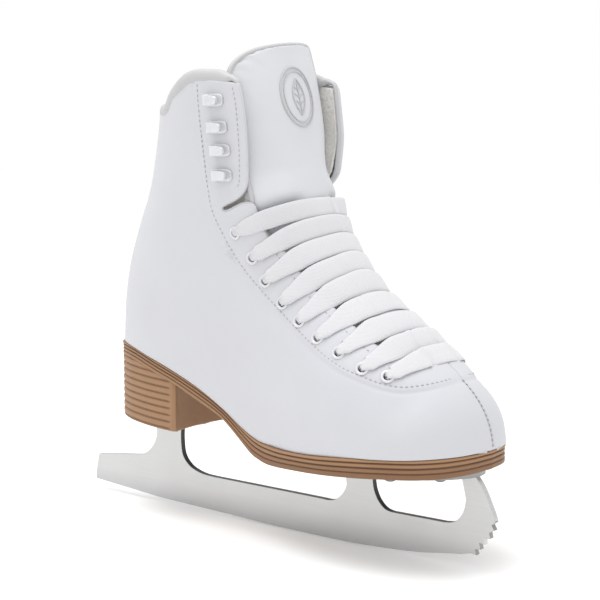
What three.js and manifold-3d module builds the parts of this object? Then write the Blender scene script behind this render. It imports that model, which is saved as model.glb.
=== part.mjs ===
// Figure skate: lace-up boot with a stacked heel, a tan sole and a steel figure blade.
// Millimetres. +X runs to the toe, +Y to the wearer's left, +Z up from the ice.
// The model is drawn about the middle of the sole and then moved by SHIFT_X, so that the
// origin lies under the middle of the whole skate.
import * as THREE from 'three';
import Module from 'manifold-3d';

const wasm = await Module();
wasm.setup();

// ---------------------------------------------------------------- driving dimensions
const SHIFT_X = 14.5;          // sole centre to the middle of the blade's length
const GAP = 0.3;               // clearance between pieces that touch
const LEATHER = 2.2;           // thickness of the upper
const STIFFENER = 1.2;         // heel counter, toe puff and eyelet stay
const LINING = 1.4;
const LINING_D = 4.0;          // depth of the lining's outer face under the upper's face
const COLLAR_DEPTH = 8;        // padded collar roll, from the outer face inward
const COLLAR_BAND = 12;        // height of the padded collar roll
const BLADE_T = 3.6;           // blade steel
const PLATE_T = 2.6;           // mounting plates
const SOLE_EDGE = 1.5;         // sole stands this far outside the upper
const EYELET_HOLE = 2.6;       // hole in the leather
const EYELET_BORE = 2.1;       // bore of the metal ring
const EYELET_R = 3.7;          // flange radius
const LACE_R = 1.5;            // lace drawn as a round cord of the same section area
const SCREW_R = 1.9;
const SCREW_HEAD_R = 3.6;
const SCREW_HOLE_R = 2.3;
const FOLD_N = [0.588, 0.809]; // normal of the cuff's fold line in the side view
const FOLD_AT = 155;           // distance of the fold line along that normal
const FOLD_GAP = 2.0;          // cleared width along the fold
const TONGUE_WRAP = 21;         // how far the tongue's edges reach back round the ankle
const TONGUE_FOLD_Z = 186;     // height at which the free top of the tongue starts

// back seam: x at height z
const XB = [[38, -121], [80, -123], [96, -122.8], [111, -121.8], [123, -120.6], [135, -118.4], [147, -115.4], [157, -112], [166, -108.4], [175, -104.6], [183, -100.7], [190, -98.0], [200, -95.0], [211, -92.3], [220, -90.2], [232, -88.1], [240, -86.9], [290, -84.7]];
const RB = [[38, 42], [100, 42], [130, 44], [165, 48], [200, 50], [290, 52]]; // length over which the back rounds
const NB = [[38, 2.15], [120, 2.1], [290, 2.2]];
// front crest: x, z, rounding length, rounding exponent
const CREST = [[10.5, 290, 16, 2.5], [10, 272, 16, 2.5], [9.5, 256, 16, 2.5], [9, 240, 16, 2.5], [9.3, 225, 17, 2.5], [10.5, 210, 20, 2.4], [13.5, 197, 26, 2.2], [18, 186, 33, 2.1], [23.6, 176, 40, 2], [30.5, 165.6, 45, 2], [38.6, 155, 48, 2], [47.6, 145, 48, 2], [57.6, 136, 47, 2.05], [68.5, 127.5, 45, 2.1], [79.5, 119.6, 43, 2.15], [89.6, 112, 42, 2.2], [98.8, 105, 42, 2.2], [107, 98, 43, 2.15], [114, 91, 45, 2.25], [119.3, 83.5, 47, 2.32], [122.8, 75.5, 49, 2.36], [124.7, 67, 50, 2.36], [125.2, 60, 50, 2.36], [125, 50, 50, 2.36], [124.6, 36, 50, 2.36]];
// half widths over x (columns) and z (rows)
const WX = [-125, -80, -45, -15, 10, 35, 60, 90, 126];
const WZ = [50, 75, 100, 130, 165, 200, 235, 270];
const WT = [
  [29.5, 29.5, 28.5, 29, 34, 40.5, 43.3, 43, 43], [30, 30, 29, 30, 35, 41, 43.6, 43.2, 43],
  [31, 31, 30.5, 31.5, 35, 39.5, 42, 42, 42], [33, 33, 33, 33.5, 35, 37.5, 39.5, 40, 40],
  [34.5, 34.5, 35, 35, 35.5, 36.5, 37, 37, 37], [36.5, 36.5, 37.5, 38, 38.5, 38.5, 38.5, 38, 38],
  [38.5, 38.5, 40, 41, 41.5, 41.5, 41.5, 41, 41], [39.5, 39.5, 41.5, 42.5, 43, 43, 43, 43, 43]];
// feather line: where the upper meets the sole
const FEATHER = [[-126, 98.6], [-105, 98.3], [-96, 96.8], [-82, 92.7], [-71, 88.9], [-60, 84.6], [-45, 78], [-27, 68.4], [-15, 61.1], [-2, 55.9], [12, 54.6], [37, 55.3], [70, 58.1], [95, 59.9], [112, 61.1], [128, 62]];
const SOLE_UNDER = [[-126, 90.6], [-105, 90.5], [-96, 89], [-82, 85], [-71, 81.2], [-64, 78.8], [-55, 74.5], [-45, 69.8], [-36, 66], [-29, 62.5], [-22, 57.2], [-15, 52.2], [-6.5, 46.4], [4, 43.9], [10, 43.9], [119, 51.2], [128, 52.2]];
const SOLE_OUT = [[-124.5, 0], [-122, 11], [-115, 20], [-105, 25.5], [-95, 28], [-80, 29.5], [-60, 28.5], [-40, 27], [-20, 27.5], [0, 31], [20, 37], [40, 41.5], [55, 43.3], [70, 43], [85, 40.5], [100, 35.5], [110, 30], [117, 23.5], [122, 15], [124.5, 0]];
const HEEL_SIDE = [[-126, 90.3], [-105, 90.2], [-96, 88.7], [-82, 84.7], [-71, 80.9], [-64, 78.5], [-55, 74.2], [-46, 69.9], [-52, 66], [-58, 60.6], [-62, 56.2], [-64, 54], [-110, 56.8], [-126, 57.8]];
// collar line and the front edge of the cuff, down past the notch and along the eyelet stay
const COLLAR = [[-100, 238.5], [-80, 237.2], [-64.7, 238], [-59.3, 244], [-51.7, 249], [-44.2, 253], [-36.8, 254.7], [-26, 254.5], [-16.7, 253.7], [-11.1, 253]];
const CUFF_FRONT = [[-5.6, 248.1], [-3.8, 243.9], [-2.5, 237.7], [-1.8, 222.2], [-2.2, 206.5], [-3.7, 193.4], [-6.2, 189.1], [-11.2, 185.6], [-18.4, 182.7], [-21.8, 180.6], [-20.1, 178.8], [-17.5, 178.9], [-11.4, 181.2], [-4.5, 183.5], [-0.7, 182.8], [0.6, 179.7], [1.1, 177]];
const STAY_EDGE = [[5.9, 165.5], [13.9, 159.3], [23.1, 149.2], [32.2, 140.3], [45.6, 130.7], [57.9, 122.9], [71, 114.8], [83.1, 109.6], [92, 106.5], [97, 112]];
const STAY_OUTER = [[-36.1, 248.8], [-35.6, 232.9], [-34.2, 211.5], [-32.3, 190], [-30.4, 179.3], [-23.5, 166], [-13.9, 153], [-0.1, 139.3], [17.1, 125.7], [32.1, 115.6], [46.6, 107.2], [60.6, 101], [72.3, 97.5], [83.4, 94.5], [90, 93.8]];
const EYELETS = [[-12.6, 167.6], [-1.8, 154.7], [6.7, 142.9], [18.2, 132], [30.2, 123.5], [43.2, 115.9], [57.2, 109.5], [72.1, 102.8], [85.2, 99.6]];
const HOOKS = [[-21.7, 238], [-20, 223.8], [-18.8, 211.6], [-18.6, 198.4]];
// blade outline, heel end first along the edge, then back over the top
const RUNNER = [[-159.3, 5.6], [-156, 5.4], [-138, 4.3], [-121, 3.3], [-104, 2.2], [-87, 1.8], [-71, 1.4], [-55, 1.1], [-40, 0.7], [-25, 0.3], [-10, 0.1], [5, 0], [33, 0], [46, 0.3], [59.5, 0.9], [72.5, 1.7], [85, 2.9], [98, 4.8], [110, 6.5]];
const PICKS = [[116.4, 8], [119.4, 7.5], [118.5, 10.5], [121.8, 10.8], [121.1, 14.3], [124.1, 13.8], [124, 17.2], [127.5, 17.5], [126.9, 20.5], [129.8, 22.1], [128.3, 24.6], [130.3, 26.3]];
const FRONT_POST = [[129.7, 28.7], [127.3, 34], [124.8, 39.3], [121.8, 44.4], [118.8, 48]];
const FRONT_POST_REAR = [[109.9, 47.3], [111.7, 40.3], [112.7, 35.2], [111.3, 28.8], [108.4, 24.6], [104.8, 22.4]];
const MID_POST = [[65.8, 21.5], [61.9, 22.7], [57.9, 26.4], [55.3, 31.5], [54.2, 37.8], [54.2, 43.6], [36.5, 42.4], [36.5, 35], [36.6, 30.7], [33.9, 25.9], [29.8, 22.5], [25.6, 21.2]];
const REAR_POST = [[-67, 21.6], [-73.4, 22.8], [-79.8, 25.5], [-84.6, 30.8], [-86.1, 39.7], [-85.6, 52.1], [-106.3, 53.3], [-106.3, 40.6], [-107.7, 36.1], [-112, 30.6]];
const TAIL = [[-118, 27], [-138, 24.2], [-156.7, 21.6], [-159.2, 10.7]];
const SOLE_PLATE = [[12, 0], [14, 10], [20, 17], [35, 19], [55, 20], [68, 23.5], [79, 25.2], [90, 24.5], [102, 20.5], [112, 14.5], [119, 7], [120.5, 0]];
const HEEL_PLATE = [[-119, 0], [-117, 11], [-110, 17], [-90, 19], [-76, 17], [-70, 11], [-68, 0]];
const SOLE_SCREWS = [[79, 20.4], [103, 10.5]];
const HEEL_SCREWS = [[-98, 12]];
const HEEL_SCREW_FRONT = -76;
const solePlateTop = (x) => 43.6 + (x - 10) * 0.067;
const heelPlateTop = (x) => 53.7 - (x + 64) * 0.0609;

// ---------------------------------------------------------------- shape of the boot
function hermite(xs, ys, x) {
  const n = xs.length;
  x = Math.min(Math.max(x, xs[0]), xs[n - 1]);
  let i = 0;
  while (i < n - 2 && x >= xs[i + 1]) i++;
  const h = (k) => xs[k + 1] - xs[k], s = (k) => (ys[k + 1] - ys[k]) / h(k);
  const d = (k) => (k === 0 ? s(0) : k === n - 1 ? s(n - 2) : (s(k - 1) * h(k) + s(k) * h(k - 1)) / (h(k) + h(k - 1)));
  const t = (x - xs[i]) / h(i), t2 = t * t, t3 = t2 * t;
  return (2 * t3 - 3 * t2 + 1) * ys[i] + (t3 - 2 * t2 + t) * h(i) * d(i) + (-2 * t3 + 3 * t2) * ys[i + 1] + (t3 - t2) * h(i) * d(i + 1);
}
const tab = (T, x) => hermite(T.map((p) => p[0]), T.map((p) => p[1]), x);
const lin = (T, x) => {
  if (x <= T[0][0]) return T[0][1];
  for (let i = 1; i < T.length; i++) if (x <= T[i][0]) return T[i - 1][1] + ((x - T[i - 1][0]) / (T[i][0] - T[i - 1][0])) * (T[i][1] - T[i - 1][1]);
  return T[T.length - 1][1];
};
const crest = [];
{
  const u = CREST.map((_, i) => i), col = (k) => CREST.map((p) => p[k]);
  for (let i = 0; i <= (CREST.length - 1) * 8; i++) crest.push([0, 1, 2, 3].map((k) => hermite(u, col(k), i / 8)));
}
const width = (x, z) => hermite(WX, WX.map((_, j) => hermite(WZ, WT.map((r) => r[j]), z)), x);
function crestDepth(x, z) {
  let best = Infinity, out = null;
  for (let i = 0; i < crest.length - 1; i++) {
    const [ax, az, ar, an] = crest[i], [bx, bz, br, bn] = crest[i + 1];
    const ex = bx - ax, ez = bz - az;
    const t = Math.min(Math.max(((x - ax) * ex + (z - az) * ez) / (ex * ex + ez * ez), 0), 1);
    const dx = x - ax - t * ex, dz = z - az - t * ez, dd = dx * dx + dz * dz;
    if (dd < best) { best = dd; out = [Math.sqrt(dd) * (ex * dz - ez * dx <= 0 ? 1 : -1), ar + (br - ar) * t, an + (bn - an) * t]; }
  }
  return out;
}
const round = (q, n) => Math.pow(1 - Math.pow(1 - Math.min(Math.max(q, 0), 1), n), 1 / n);
// half width of the boot at (x, z), d inside the outer face
function half(x, z, d = 0) {
  const [D, R, N] = crestDepth(x, z);
  const rb = tab(RB, z);
  return (width(x, z) - d) * round((x - tab(XB, z) - d) / (rb - d), tab(NB, z)) * round((D - d) / (R - d), N);
}
const toeSwing = (x) => (x > 100 ? 4 * ((x - 100) / 24.5) ** 2 : 0); // the toe leans to the inside of the foot

// ---------------------------------------------------------------- solids
function manifold(pos, tri) {
  return new wasm.Manifold(new wasm.Mesh({ numProp: 3, vertProperties: new Float32Array(pos), triVerts: new Uint32Array(tri) }));
}
// closed stack of rings with equal counts, counter-clockwise seen from the far end
// ring made of two rows back to back: closed at both ends by a strip between the rows
function loftStrip(rings) {
  const n = rings[0].length, h = n / 2, pos = rings.flat(2), tri = [], last = (rings.length - 1) * n;
  for (let i = 0; i + 1 < rings.length; i++) for (let j = 0; j < n; j++) {
    const a = i * n + j, b = i * n + (j + 1) % n, c = a + n, d = b + n;
    tri.push(a, b, d, a, d, c);
  }
  for (let k = 0; k + 1 < h; k++) {
    const a = k, b = k + 1, c = n - 2 - k, d = n - 1 - k;
    tri.push(a, c, b, a, d, c);
    tri.push(last + a, last + b, last + c, last + a, last + c, last + d);
  }
  return manifold(pos, tri);
}
function loft(rings) {
  const n = rings[0].length, pos = rings.flat(2), tri = [];
  const c0 = rings.length * n, c1 = c0 + 1, mean = (r) => [0, 1, 2].map((k) => r.reduce((a, p) => a + p[k], 0) / n);
  pos.push(...mean(rings[0]), ...mean(rings[rings.length - 1]));
  for (let i = 0; i + 1 < rings.length; i++) for (let j = 0; j < n; j++) {
    const a = i * n + j, b = i * n + (j + 1) % n, c = a + n, d = b + n;
    tri.push(a, b, d, a, d, c);
  }
  const last = (rings.length - 1) * n;
  for (let j = 0; j < n; j++) { tri.push(c0, (j + 1) % n, j); tri.push(c1, last + j, last + (j + 1) % n); }
  return manifold(pos, tri);
}
function fromGeometry(geo) {
  const p = geo.getAttribute('position'), key = new Map(), pos = [], map = [];
  for (let i = 0; i < p.count; i++) {
    const v = [p.getX(i), p.getY(i), p.getZ(i)], k = v.map((c) => Math.round(c * 1e4)).join();
    if (!key.has(k)) { key.set(k, pos.length / 3); pos.push(...v); }
    map.push(key.get(k));
  }
  const idx = geo.index ? Array.from(geo.index.array) : map.map((_, i) => i), tri = [];
  for (let i = 0; i < idx.length; i += 3) {
    const [a, b, c] = [map[idx[i]], map[idx[i + 1]], map[idx[i + 2]]];
    if (a !== b && b !== c && a !== c) tri.push(a, b, c);
  }
  return manifold(pos, tri);
}
// prism of a side-view outline, from y0 to y1
function sidePrism(points, y0, y1) {
  const g = new THREE.ExtrudeGeometry(new THREE.Shape(points.map((p) => new THREE.Vector2(p[0], p[1]))), { depth: y1 - y0, bevelEnabled: false });
  g.rotateX(Math.PI / 2); // shape's y becomes z, depth runs to -y
  g.translate(0, y1, 0);
  return fromGeometry(g);
}
// prism of a plan outline given as half widths, from z0 to z1
function planPrism(T, z0, z1, grow = 0) {
  const a = T.map(([x, w], i) => [x + (i === 0 ? -grow : i === T.length - 1 ? grow : 0), w > 0 ? w + grow : 0]);
  const pts = [...a, ...a.slice(1, -1).reverse().map(([x, w]) => [x, -w])];
  const g = new THREE.ExtrudeGeometry(new THREE.Shape(pts.map((p) => new THREE.Vector2(p[0], p[1]))), { depth: z1 - z0, bevelEnabled: false });
  g.translate(0, 0, z0);
  return fromGeometry(g);
}
function cylinder(r, from, to, seg = 10) {
  const a = new THREE.Vector3(...from), b = new THREE.Vector3(...to), d = b.clone().sub(a);
  const g = new THREE.CylinderGeometry(r, r, d.length(), seg);
  g.applyQuaternion(new THREE.Quaternion().setFromUnitVectors(new THREE.Vector3(0, 1, 0), d.clone().normalize()));
  g.translate(...a.clone().add(b).multiplyScalar(0.5).toArray());
  return fromGeometry(g);
}
// the boot's volume, d inside its outer face
const cache = new Map();
function boot(d) {
  if (cache.has(d)) return cache.get(d);
  const zs = [38, 52, 60, 68, 76, 84, 91, 98, 105, 112, 120, 129, 138, 148, 159, 170, 181, 192, 206, 224, 242, 262, 288];
  const N = 13, rings = [];
  for (const z of zs) {
    const x0 = tab(XB, z) + d;
    let lo = x0 + 40, hi = 140;
    for (let k = 0; k < 40; k++) { const m = (lo + hi) / 2; if (crestDepth(m, z)[0] >= d) lo = m; else hi = m; }
    const ring = [];
    for (let k = 0; k < 2 * N; k++) {
      const s = k <= N ? -1 : 1, j = k <= N ? k : 2 * N - k, x = x0 + ((lo - x0) * (1 - Math.cos((Math.PI * j) / N))) / 2;
      ring.push([x, j === 0 || j === N ? 0 : s * Math.max(half(x, z, d), 0.2), z]);
    }
    rings.push(ring);
  }
  const m = loft(rings);
  cache.set(d, m);
  return m;
}
const shell = (d0, d1) => boot(d0).subtract(boot(d1));
const right = (g = GAP / 2) => sidePrism([[-200, 0], [200, 0], [200, 300], [-200, 300]], -80, -g);
const left = (g = GAP / 2) => sidePrism([[-200, 0], [200, 0], [200, 300], [-200, 300]], g, 80);
const raise = (T, dz) => T.map(([x, z]) => [x, z + dz]);
const below = (T, dz) => [...raise(T, dz), [T[T.length - 1][0], 0], [T[0][0], 0]];
const slab = (T0, dz0, T1, dz1) => sidePrism([...raise(T0, dz0), ...raise(T1, dz1).reverse()], -80, 80);
// the side of the fold line away from (-1) or on (1) the cuff flap
function foldSide(s) {
  const [nx, nz] = FOLD_N, c = FOLD_AT + (s * FOLD_GAP) / 2;
  const p = (t, u) => [nx * u - nz * t, nz * u + nx * t];
  return sidePrism(s < 0 ? [p(-300, -400), p(-300, c), p(300, c), p(300, -400)].reverse() : [p(-300, c), p(-300, 600), p(300, 600), p(300, c)].reverse(), -80, 80);
}

const parts = [];
function add(name, solid, color, roughness = 0.6, metalness = 0, swing = false) {
  parts.push({ name, solid, color, roughness, metalness, swing });
}
const WHITE = 0xdcdce1, TAN = 0xa86f3c, TAN_DARK = 0x8f5c30, STEEL = 0xc9cacc, CREAM = 0xe6dfd0, FOAM = 0xd9d4c8, METAL_WHITE = 0xe4e5e8;

// ---------------------------------------------------------------- blade and its plates
const bladeOutline = [...RUNNER, ...PICKS, ...FRONT_POST, ...FRONT_POST_REAR, ...MID_POST, ...REAR_POST, ...TAIL];
add('blade', sidePrism(bladeOutline, -BLADE_T / 2, BLADE_T / 2), STEEL, 0.3, 1);
const screws = [];
for (const [x, y] of SOLE_SCREWS) for (const s of [-1, 1]) screws.push([`sole_screw_${x < 90 ? 'rear' : 'front'}_${s < 0 ? 'right' : 'left'}`, x, s * y, solePlateTop(x)]);
for (const [x, y] of HEEL_SCREWS) for (const s of [-1, 1]) screws.push([`heel_screw_${s < 0 ? 'right' : 'left'}`, x, s * y, heelPlateTop(x)]);
screws.push(['heel_screw_front', HEEL_SCREW_FRONT, 0, heelPlateTop(HEEL_SCREW_FRONT)]);
const screwHoles = screws.map(([, x, y, z]) => cylinder(SCREW_HOLE_R, [x, y, z - 8], [x, y, z + 9]));
const drilled = (m) => screwHoles.reduce((a, h) => a.subtract(h), m);
const plateSlab = (top, x0, x1) => sidePrism([[x0, top(x0) - PLATE_T], [x1, top(x1) - PLATE_T], [x1, top(x1)], [x0, top(x0)]], -60, 60);
add('sole_plate', drilled(planPrism(SOLE_PLATE, 30, 70).intersect(plateSlab(solePlateTop, 0, 125))), STEEL, 0.32, 1);
add('heel_plate', drilled(planPrism(HEEL_PLATE, 30, 70).intersect(plateSlab(heelPlateTop, -125, -60))), STEEL, 0.32, 1);
for (const [name, x, y, z] of screws) {
  const h = z - PLATE_T - 0.6;
  const g = new THREE.LatheGeometry([[0, h - 1.7], [2.2, h - 1.4], [SCREW_HEAD_R, h - 0.4], [SCREW_HEAD_R, h], [SCREW_R, h], [SCREW_R, z + 7.5], [0, z + 8.5]].map((p) => new THREE.Vector2(...p)), 10);
  g.rotateX(Math.PI / 2);
  g.translate(x, y, 0);
  add(name, fromGeometry(g), STEEL, 0.35, 1);
}

// ---------------------------------------------------------------- sole unit
const soleTop = raise(FEATHER, 0);
const soleSide = sidePrism([...soleTop, ...raise(SOLE_UNDER, 0).reverse()], -80, 80);
add('outsole', drilled(planPrism(SOLE_OUT, 20, 120, SOLE_EDGE).intersect(soleSide)), TAN, 0.7, 0, true);
add('heel', drilled(planPrism(SOLE_OUT, 20, 120, SOLE_EDGE - 0.8).intersect(sidePrism(HEEL_SIDE, -80, 80))), TAN_DARK, 0.7, 0, true);

// ---------------------------------------------------------------- upper
const upperSide = [...raise(FEATHER, GAP), [130, 130], ...STAY_EDGE.slice().reverse(), ...CUFF_FRONT.slice().reverse(), ...raise(COLLAR, -3).reverse(), [-140, 235], [-140, 99]];
const eyeletAt = EYELETS.map(([x, z]) => {
  const y = half(x, z), e = 0.5;
  const n = new THREE.Vector3(-(half(x + e, z) - half(x - e, z)) / (2 * e), 1, -(half(x, z + e) - half(x, z - e)) / (2 * e)).normalize();
  return { p: new THREE.Vector3(x, y, z), n };
});
const flip = (v) => new THREE.Vector3(v.x, -v.y, v.z);
function eyeletHoles(side) {
  return eyeletAt.map(({ p, n }) => {
    const q = side < 0 ? flip(p) : p.clone(), m = side < 0 ? flip(n) : n.clone();
    return cylinder(EYELET_HOLE, q.clone().addScaledVector(m, -6.5).toArray(), q.clone().addScaledVector(m, 5).toArray(), 8);
  });
}
const hookAt = HOOKS.map(([x, z]) => ({ p: new THREE.Vector3(x, half(x, z), z) }));
const hookHoles = (side) => hookAt.map(({ p }) => cylinder(1.6, [p.x, side * (p.y - 6), p.z], [p.x, side * (p.y + 4), p.z], 8));
const uOuter = shell(0, LEATHER), uSide = sidePrism(upperSide, -80, 80);
const lower = foldSide(-1), upper = foldSide(1);
const stayZone = (inset) => {
  const outer = STAY_OUTER.slice(4).map(([x, z]) => [x, z + inset]);
  return sidePrism([...outer, [97, 97], [97, 112], ...STAY_EDGE.slice(0, -1).reverse().map(([x, z]) => [x, z - inset * 0.2]), [-1, 173.5], [-10, 175], [-22, 173.5]], -80, 80);
};
for (const [side, name, box] of [[-1, 'right', right()], [1, 'left', left()]]) {
  const holes = eyeletHoles(side), hh = hookHoles(side), bore = (m, hs) => hs.reduce((a, h) => a.subtract(h), m);
  const whole = uOuter.intersect(uSide).intersect(box);
  add(`upper_${name}`, bore(whole.intersect(lower), [...holes, ...hh]), WHITE, 0.5, 0, true);
  add(`cuff_flap_${name}`, bore(whole.intersect(upper), hh), WHITE, 0.5, 0, true);
  // eyelet stay behind the leather
  add(`eyelet_stay_${name}`, bore(shell(LEATHER + GAP, LEATHER + GAP + STIFFENER).intersect(stayZone(1.5)).intersect(box), holes), FOAM, 0.8, 0, true);
  // lining, from the sole up to the padded collar
  const liningSide = [...raise(FEATHER, GAP + 0.1), [122, 100], [92, 92], ...STAY_OUTER.slice(4, -1).reverse().map(([x, z]) => [x - 3, z - 2]), [-26, 195], ...raise(COLLAR.slice(0, 8), -3 - COLLAR_BAND - 0.5).reverse(), [-140, 220], [-140, 99]];
  add(`lining_${name}`, shell(LINING_D, LINING_D + LINING).intersect(sidePrism(liningSide, -80, 80)).intersect(box).intersect(foldSide(-1)), CREAM, 0.9, 0, true);
  const flapLining = [...CUFF_FRONT.slice(0, 9).map(([x, z]) => [x - 1.2, z + (z < 195 ? 1 : 0)]).reverse(), ...raise(COLLAR, -4).reverse(), [-95, 200], [-40, 190]];
  add(`cuff_lining_${name}`, bore(shell(LEATHER + GAP, LEATHER + GAP + 1.3).intersect(sidePrism(flapLining, -80, 80)).intersect(box).intersect(upper), hh), CREAM, 0.9, 0, true);
  const band = [...raise(COLLAR.slice(0, 7), -3 - COLLAR_BAND), ...raise(COLLAR.slice(0, 7), 0).reverse()];
  add(`collar_pad_${name}`, shell(LEATHER + GAP, COLLAR_DEPTH).intersect(sidePrism(band, -80, 80)).intersect(box).intersect(foldSide(-1)), WHITE, 0.6, 0, true);
}
// stiffeners between the leather and the lining
const stiff = shell(LEATHER + GAP, LEATHER + GAP + STIFFENER);
add('heel_counter', stiff.intersect(sidePrism([...raise(FEATHER.slice(0, 7), GAP + 0.1), [-50, 100], [-66, 128], [-90, 146], [-130, 150]], -80, 80)), FOAM, 0.8, 0, true);
add('toe_puff', stiff.intersect(sidePrism([...raise(FEATHER.slice(12), GAP + 0.1), [140, 100], [100, 120], [99, 92], [84, 80]], -80, 80)), FOAM, 0.8, 0, true);
add('insole_board', boot(5.8).intersect(slab(FEATHER, 0.5, FEATHER, 2.7)), FOAM, 0.8, 0, true);
add('footbed', boot(6.4).intersect(slab(FEATHER, 3.0, FEATHER, 6.5)), CREAM, 0.9, 0, true);

// ---------------------------------------------------------------- tongue
// rings across the tongue, each following the boot's own section; depth grows towards the
// edges where the tongue passes under the eyelet stays
function crestAt(z) { return tab(CREST.map((p) => [p[1], p[0]]).reverse(), z); }
// how far the free top of the tongue leans back from the crest line
const LEAN = [[186, 0], [200, 0.4], [207, 0.9], [222, 2.8], [235, 4.8], [250, 9.2], [262, 13.3], [270, 15.6]];
const leanAt = (z) => { let i = 0; while (i < LEAN.length - 2 && z > LEAN[i + 1][0]) i++; const t = Math.min(Math.max((z - LEAN[i][0]) / (LEAN[i + 1][0] - LEAN[i][0]), 0), 1); return LEAN[i][1] * (1 - t) + LEAN[i + 1][1] * t; };
function arch(cx, cz, mx, mz, y, d) { // point of the boot's face, d inside, at width y on the line through the crest
  let lo = d, hi = 60;
  for (let k = 0; k < 30; k++) { const s = (lo + hi) / 2; if (half(cx - mx * s, cz - mz * s, d) < y) lo = s; else hi = s; }
  const free = smooth(187, 204, cz), s = Math.min((lo + hi) / 2, TONGUE_WRAP + d) * (1 - free) + (leanAt(cz) + (12.5 + 5 * (1 - smooth(196, 226, cz))) * (y / 34) ** 2 + d) * free;
  return [cx - mx * s, cz - mz * s];
}
const smooth = (a, b, x) => { const t = Math.min(Math.max((x - a) / (b - a), 0), 1); return t * t * (3 - 2 * t); };
function tongue(zs, d0, d1, flat = 0) {
  const NY = 10, rings = [];
  for (const [z, w] of zs) {
    const cx = crestAt(z), e = 1.5;
    let tx = crestAt(z + e) - crestAt(z - e), tz = 2 * e;
    const L = Math.hypot(tx, tz); tx /= L; tz /= L;
    const mx = tz, mz = -tx; // outward normal of the crest
    const under = 1 - smooth(180, 192, z);
    const ring = [], row = (d, dir) => {
      for (let k = 0; k <= NY; k++) {
        const a = dir * (-1 + (2 * k) / NY), y = w * Math.sin((a * Math.PI) / 2) , ay = Math.abs(y);
        const dd = d + under * 4.3 * smooth(9, 17, ay);
        const [px, pz] = arch(cx, z, mx, mz, Math.max(ay, 0.01), dd);
        ring.push([px, y, pz]);
      }
    };
    row(d0, 1);
    row(d1, -1);
    rings.push(ring);
  }
  return loftStrip(rings);
}
const lowerTongue = [[112, 9], [119, 16.5], [127, 20.5], [136, 23], [146, 24], [157, 25], [168, 25.5], [177, 26.3], [TONGUE_FOLD_Z - 1.4, 29]];
const upperTongue = [[TONGUE_FOLD_Z + 0.6, 29], [194, 30.6], [204, 31.8], [216, 32.8], [230, 33.4], [244, 34], [253, 33.9], [258, 32.4], [262, 29], [265, 23.5], [266.8, 15]];
add('tongue_lower', tongue(lowerTongue, 1.2, 3.2), WHITE, 0.5);
add('tongue_pad_lower', tongue(lowerTongue.map(([z, w]) => [z, w - 1]), 4.5, 8), CREAM, 0.9);
add('tongue_upper', tongue(upperTongue, 0.2, 2.2), WHITE, 0.5);
add('tongue_pad_upper', tongue(upperTongue.map(([z, w]) => [z, w - 0.5]), 3.6, 7.4), CREAM, 0.9);

// ---------------------------------------------------------------- eyelets, hooks and lace
for (const [side, name] of [[-1, 'right'], [1, 'left']]) {
  eyeletAt.forEach(({ p, n }, i) => {
    const prof = [[EYELET_BORE, -3.9], [EYELET_HOLE - GAP + 0.05, -3.9], [EYELET_HOLE - GAP + 0.05, 0.45], [EYELET_R, 0.45], [EYELET_R - 0.6, 1.2], [EYELET_BORE, 1.2]];
    const g = new THREE.LatheGeometry([...prof, prof[0]].map((q) => new THREE.Vector2(...q)), 8);
    const m = side < 0 ? flip(n) : n.clone(), q = side < 0 ? flip(p) : p.clone();
    g.applyQuaternion(new THREE.Quaternion().setFromUnitVectors(new THREE.Vector3(0, 1, 0), m));
    g.translate(q.x, q.y, q.z);
    add(`eyelet_${name}_${i + 1}`, fromGeometry(g), METAL_WHITE, 0.35, 0.6);
  });
  hookAt.forEach(({ p }, i) => {
    // base plate, riveted through the leather, with a tongue folded back over it
    const y0 = 0.6, s = [[-6, y0], [5.5, y0], [5.5, y0 + 1], [-3.6, y0 + 1], [-3.6, y0 + 3.2], [3.4, y0 + 3.9], [3.4, y0 + 5], [-6, y0 + 4.2]];
    const g = new THREE.ExtrudeGeometry(new THREE.Shape(s.map((q) => new THREE.Vector2(...q))), { depth: 6.4, bevelEnabled: false });
    g.translate(0, 0, -3.2); // outline lies in x-y, thickness along z
    let m = fromGeometry(g).add(cylinder(1.25, [0, -4.6, 0], [0, y0 + 0.5, 0], 8));
    m = m.rotate([0, 0, (Math.atan2(half(p.x + 3, p.z) - half(p.x - 3, p.z), 6) * 180) / Math.PI]).translate([p.x, p.y, p.z]);
    if (side < 0) m = m.mirror([0, 1, 0]);
    add(`hook_${name}_${i + 1}`, m, METAL_WHITE, 0.35, 0.6);
  });
}
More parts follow.
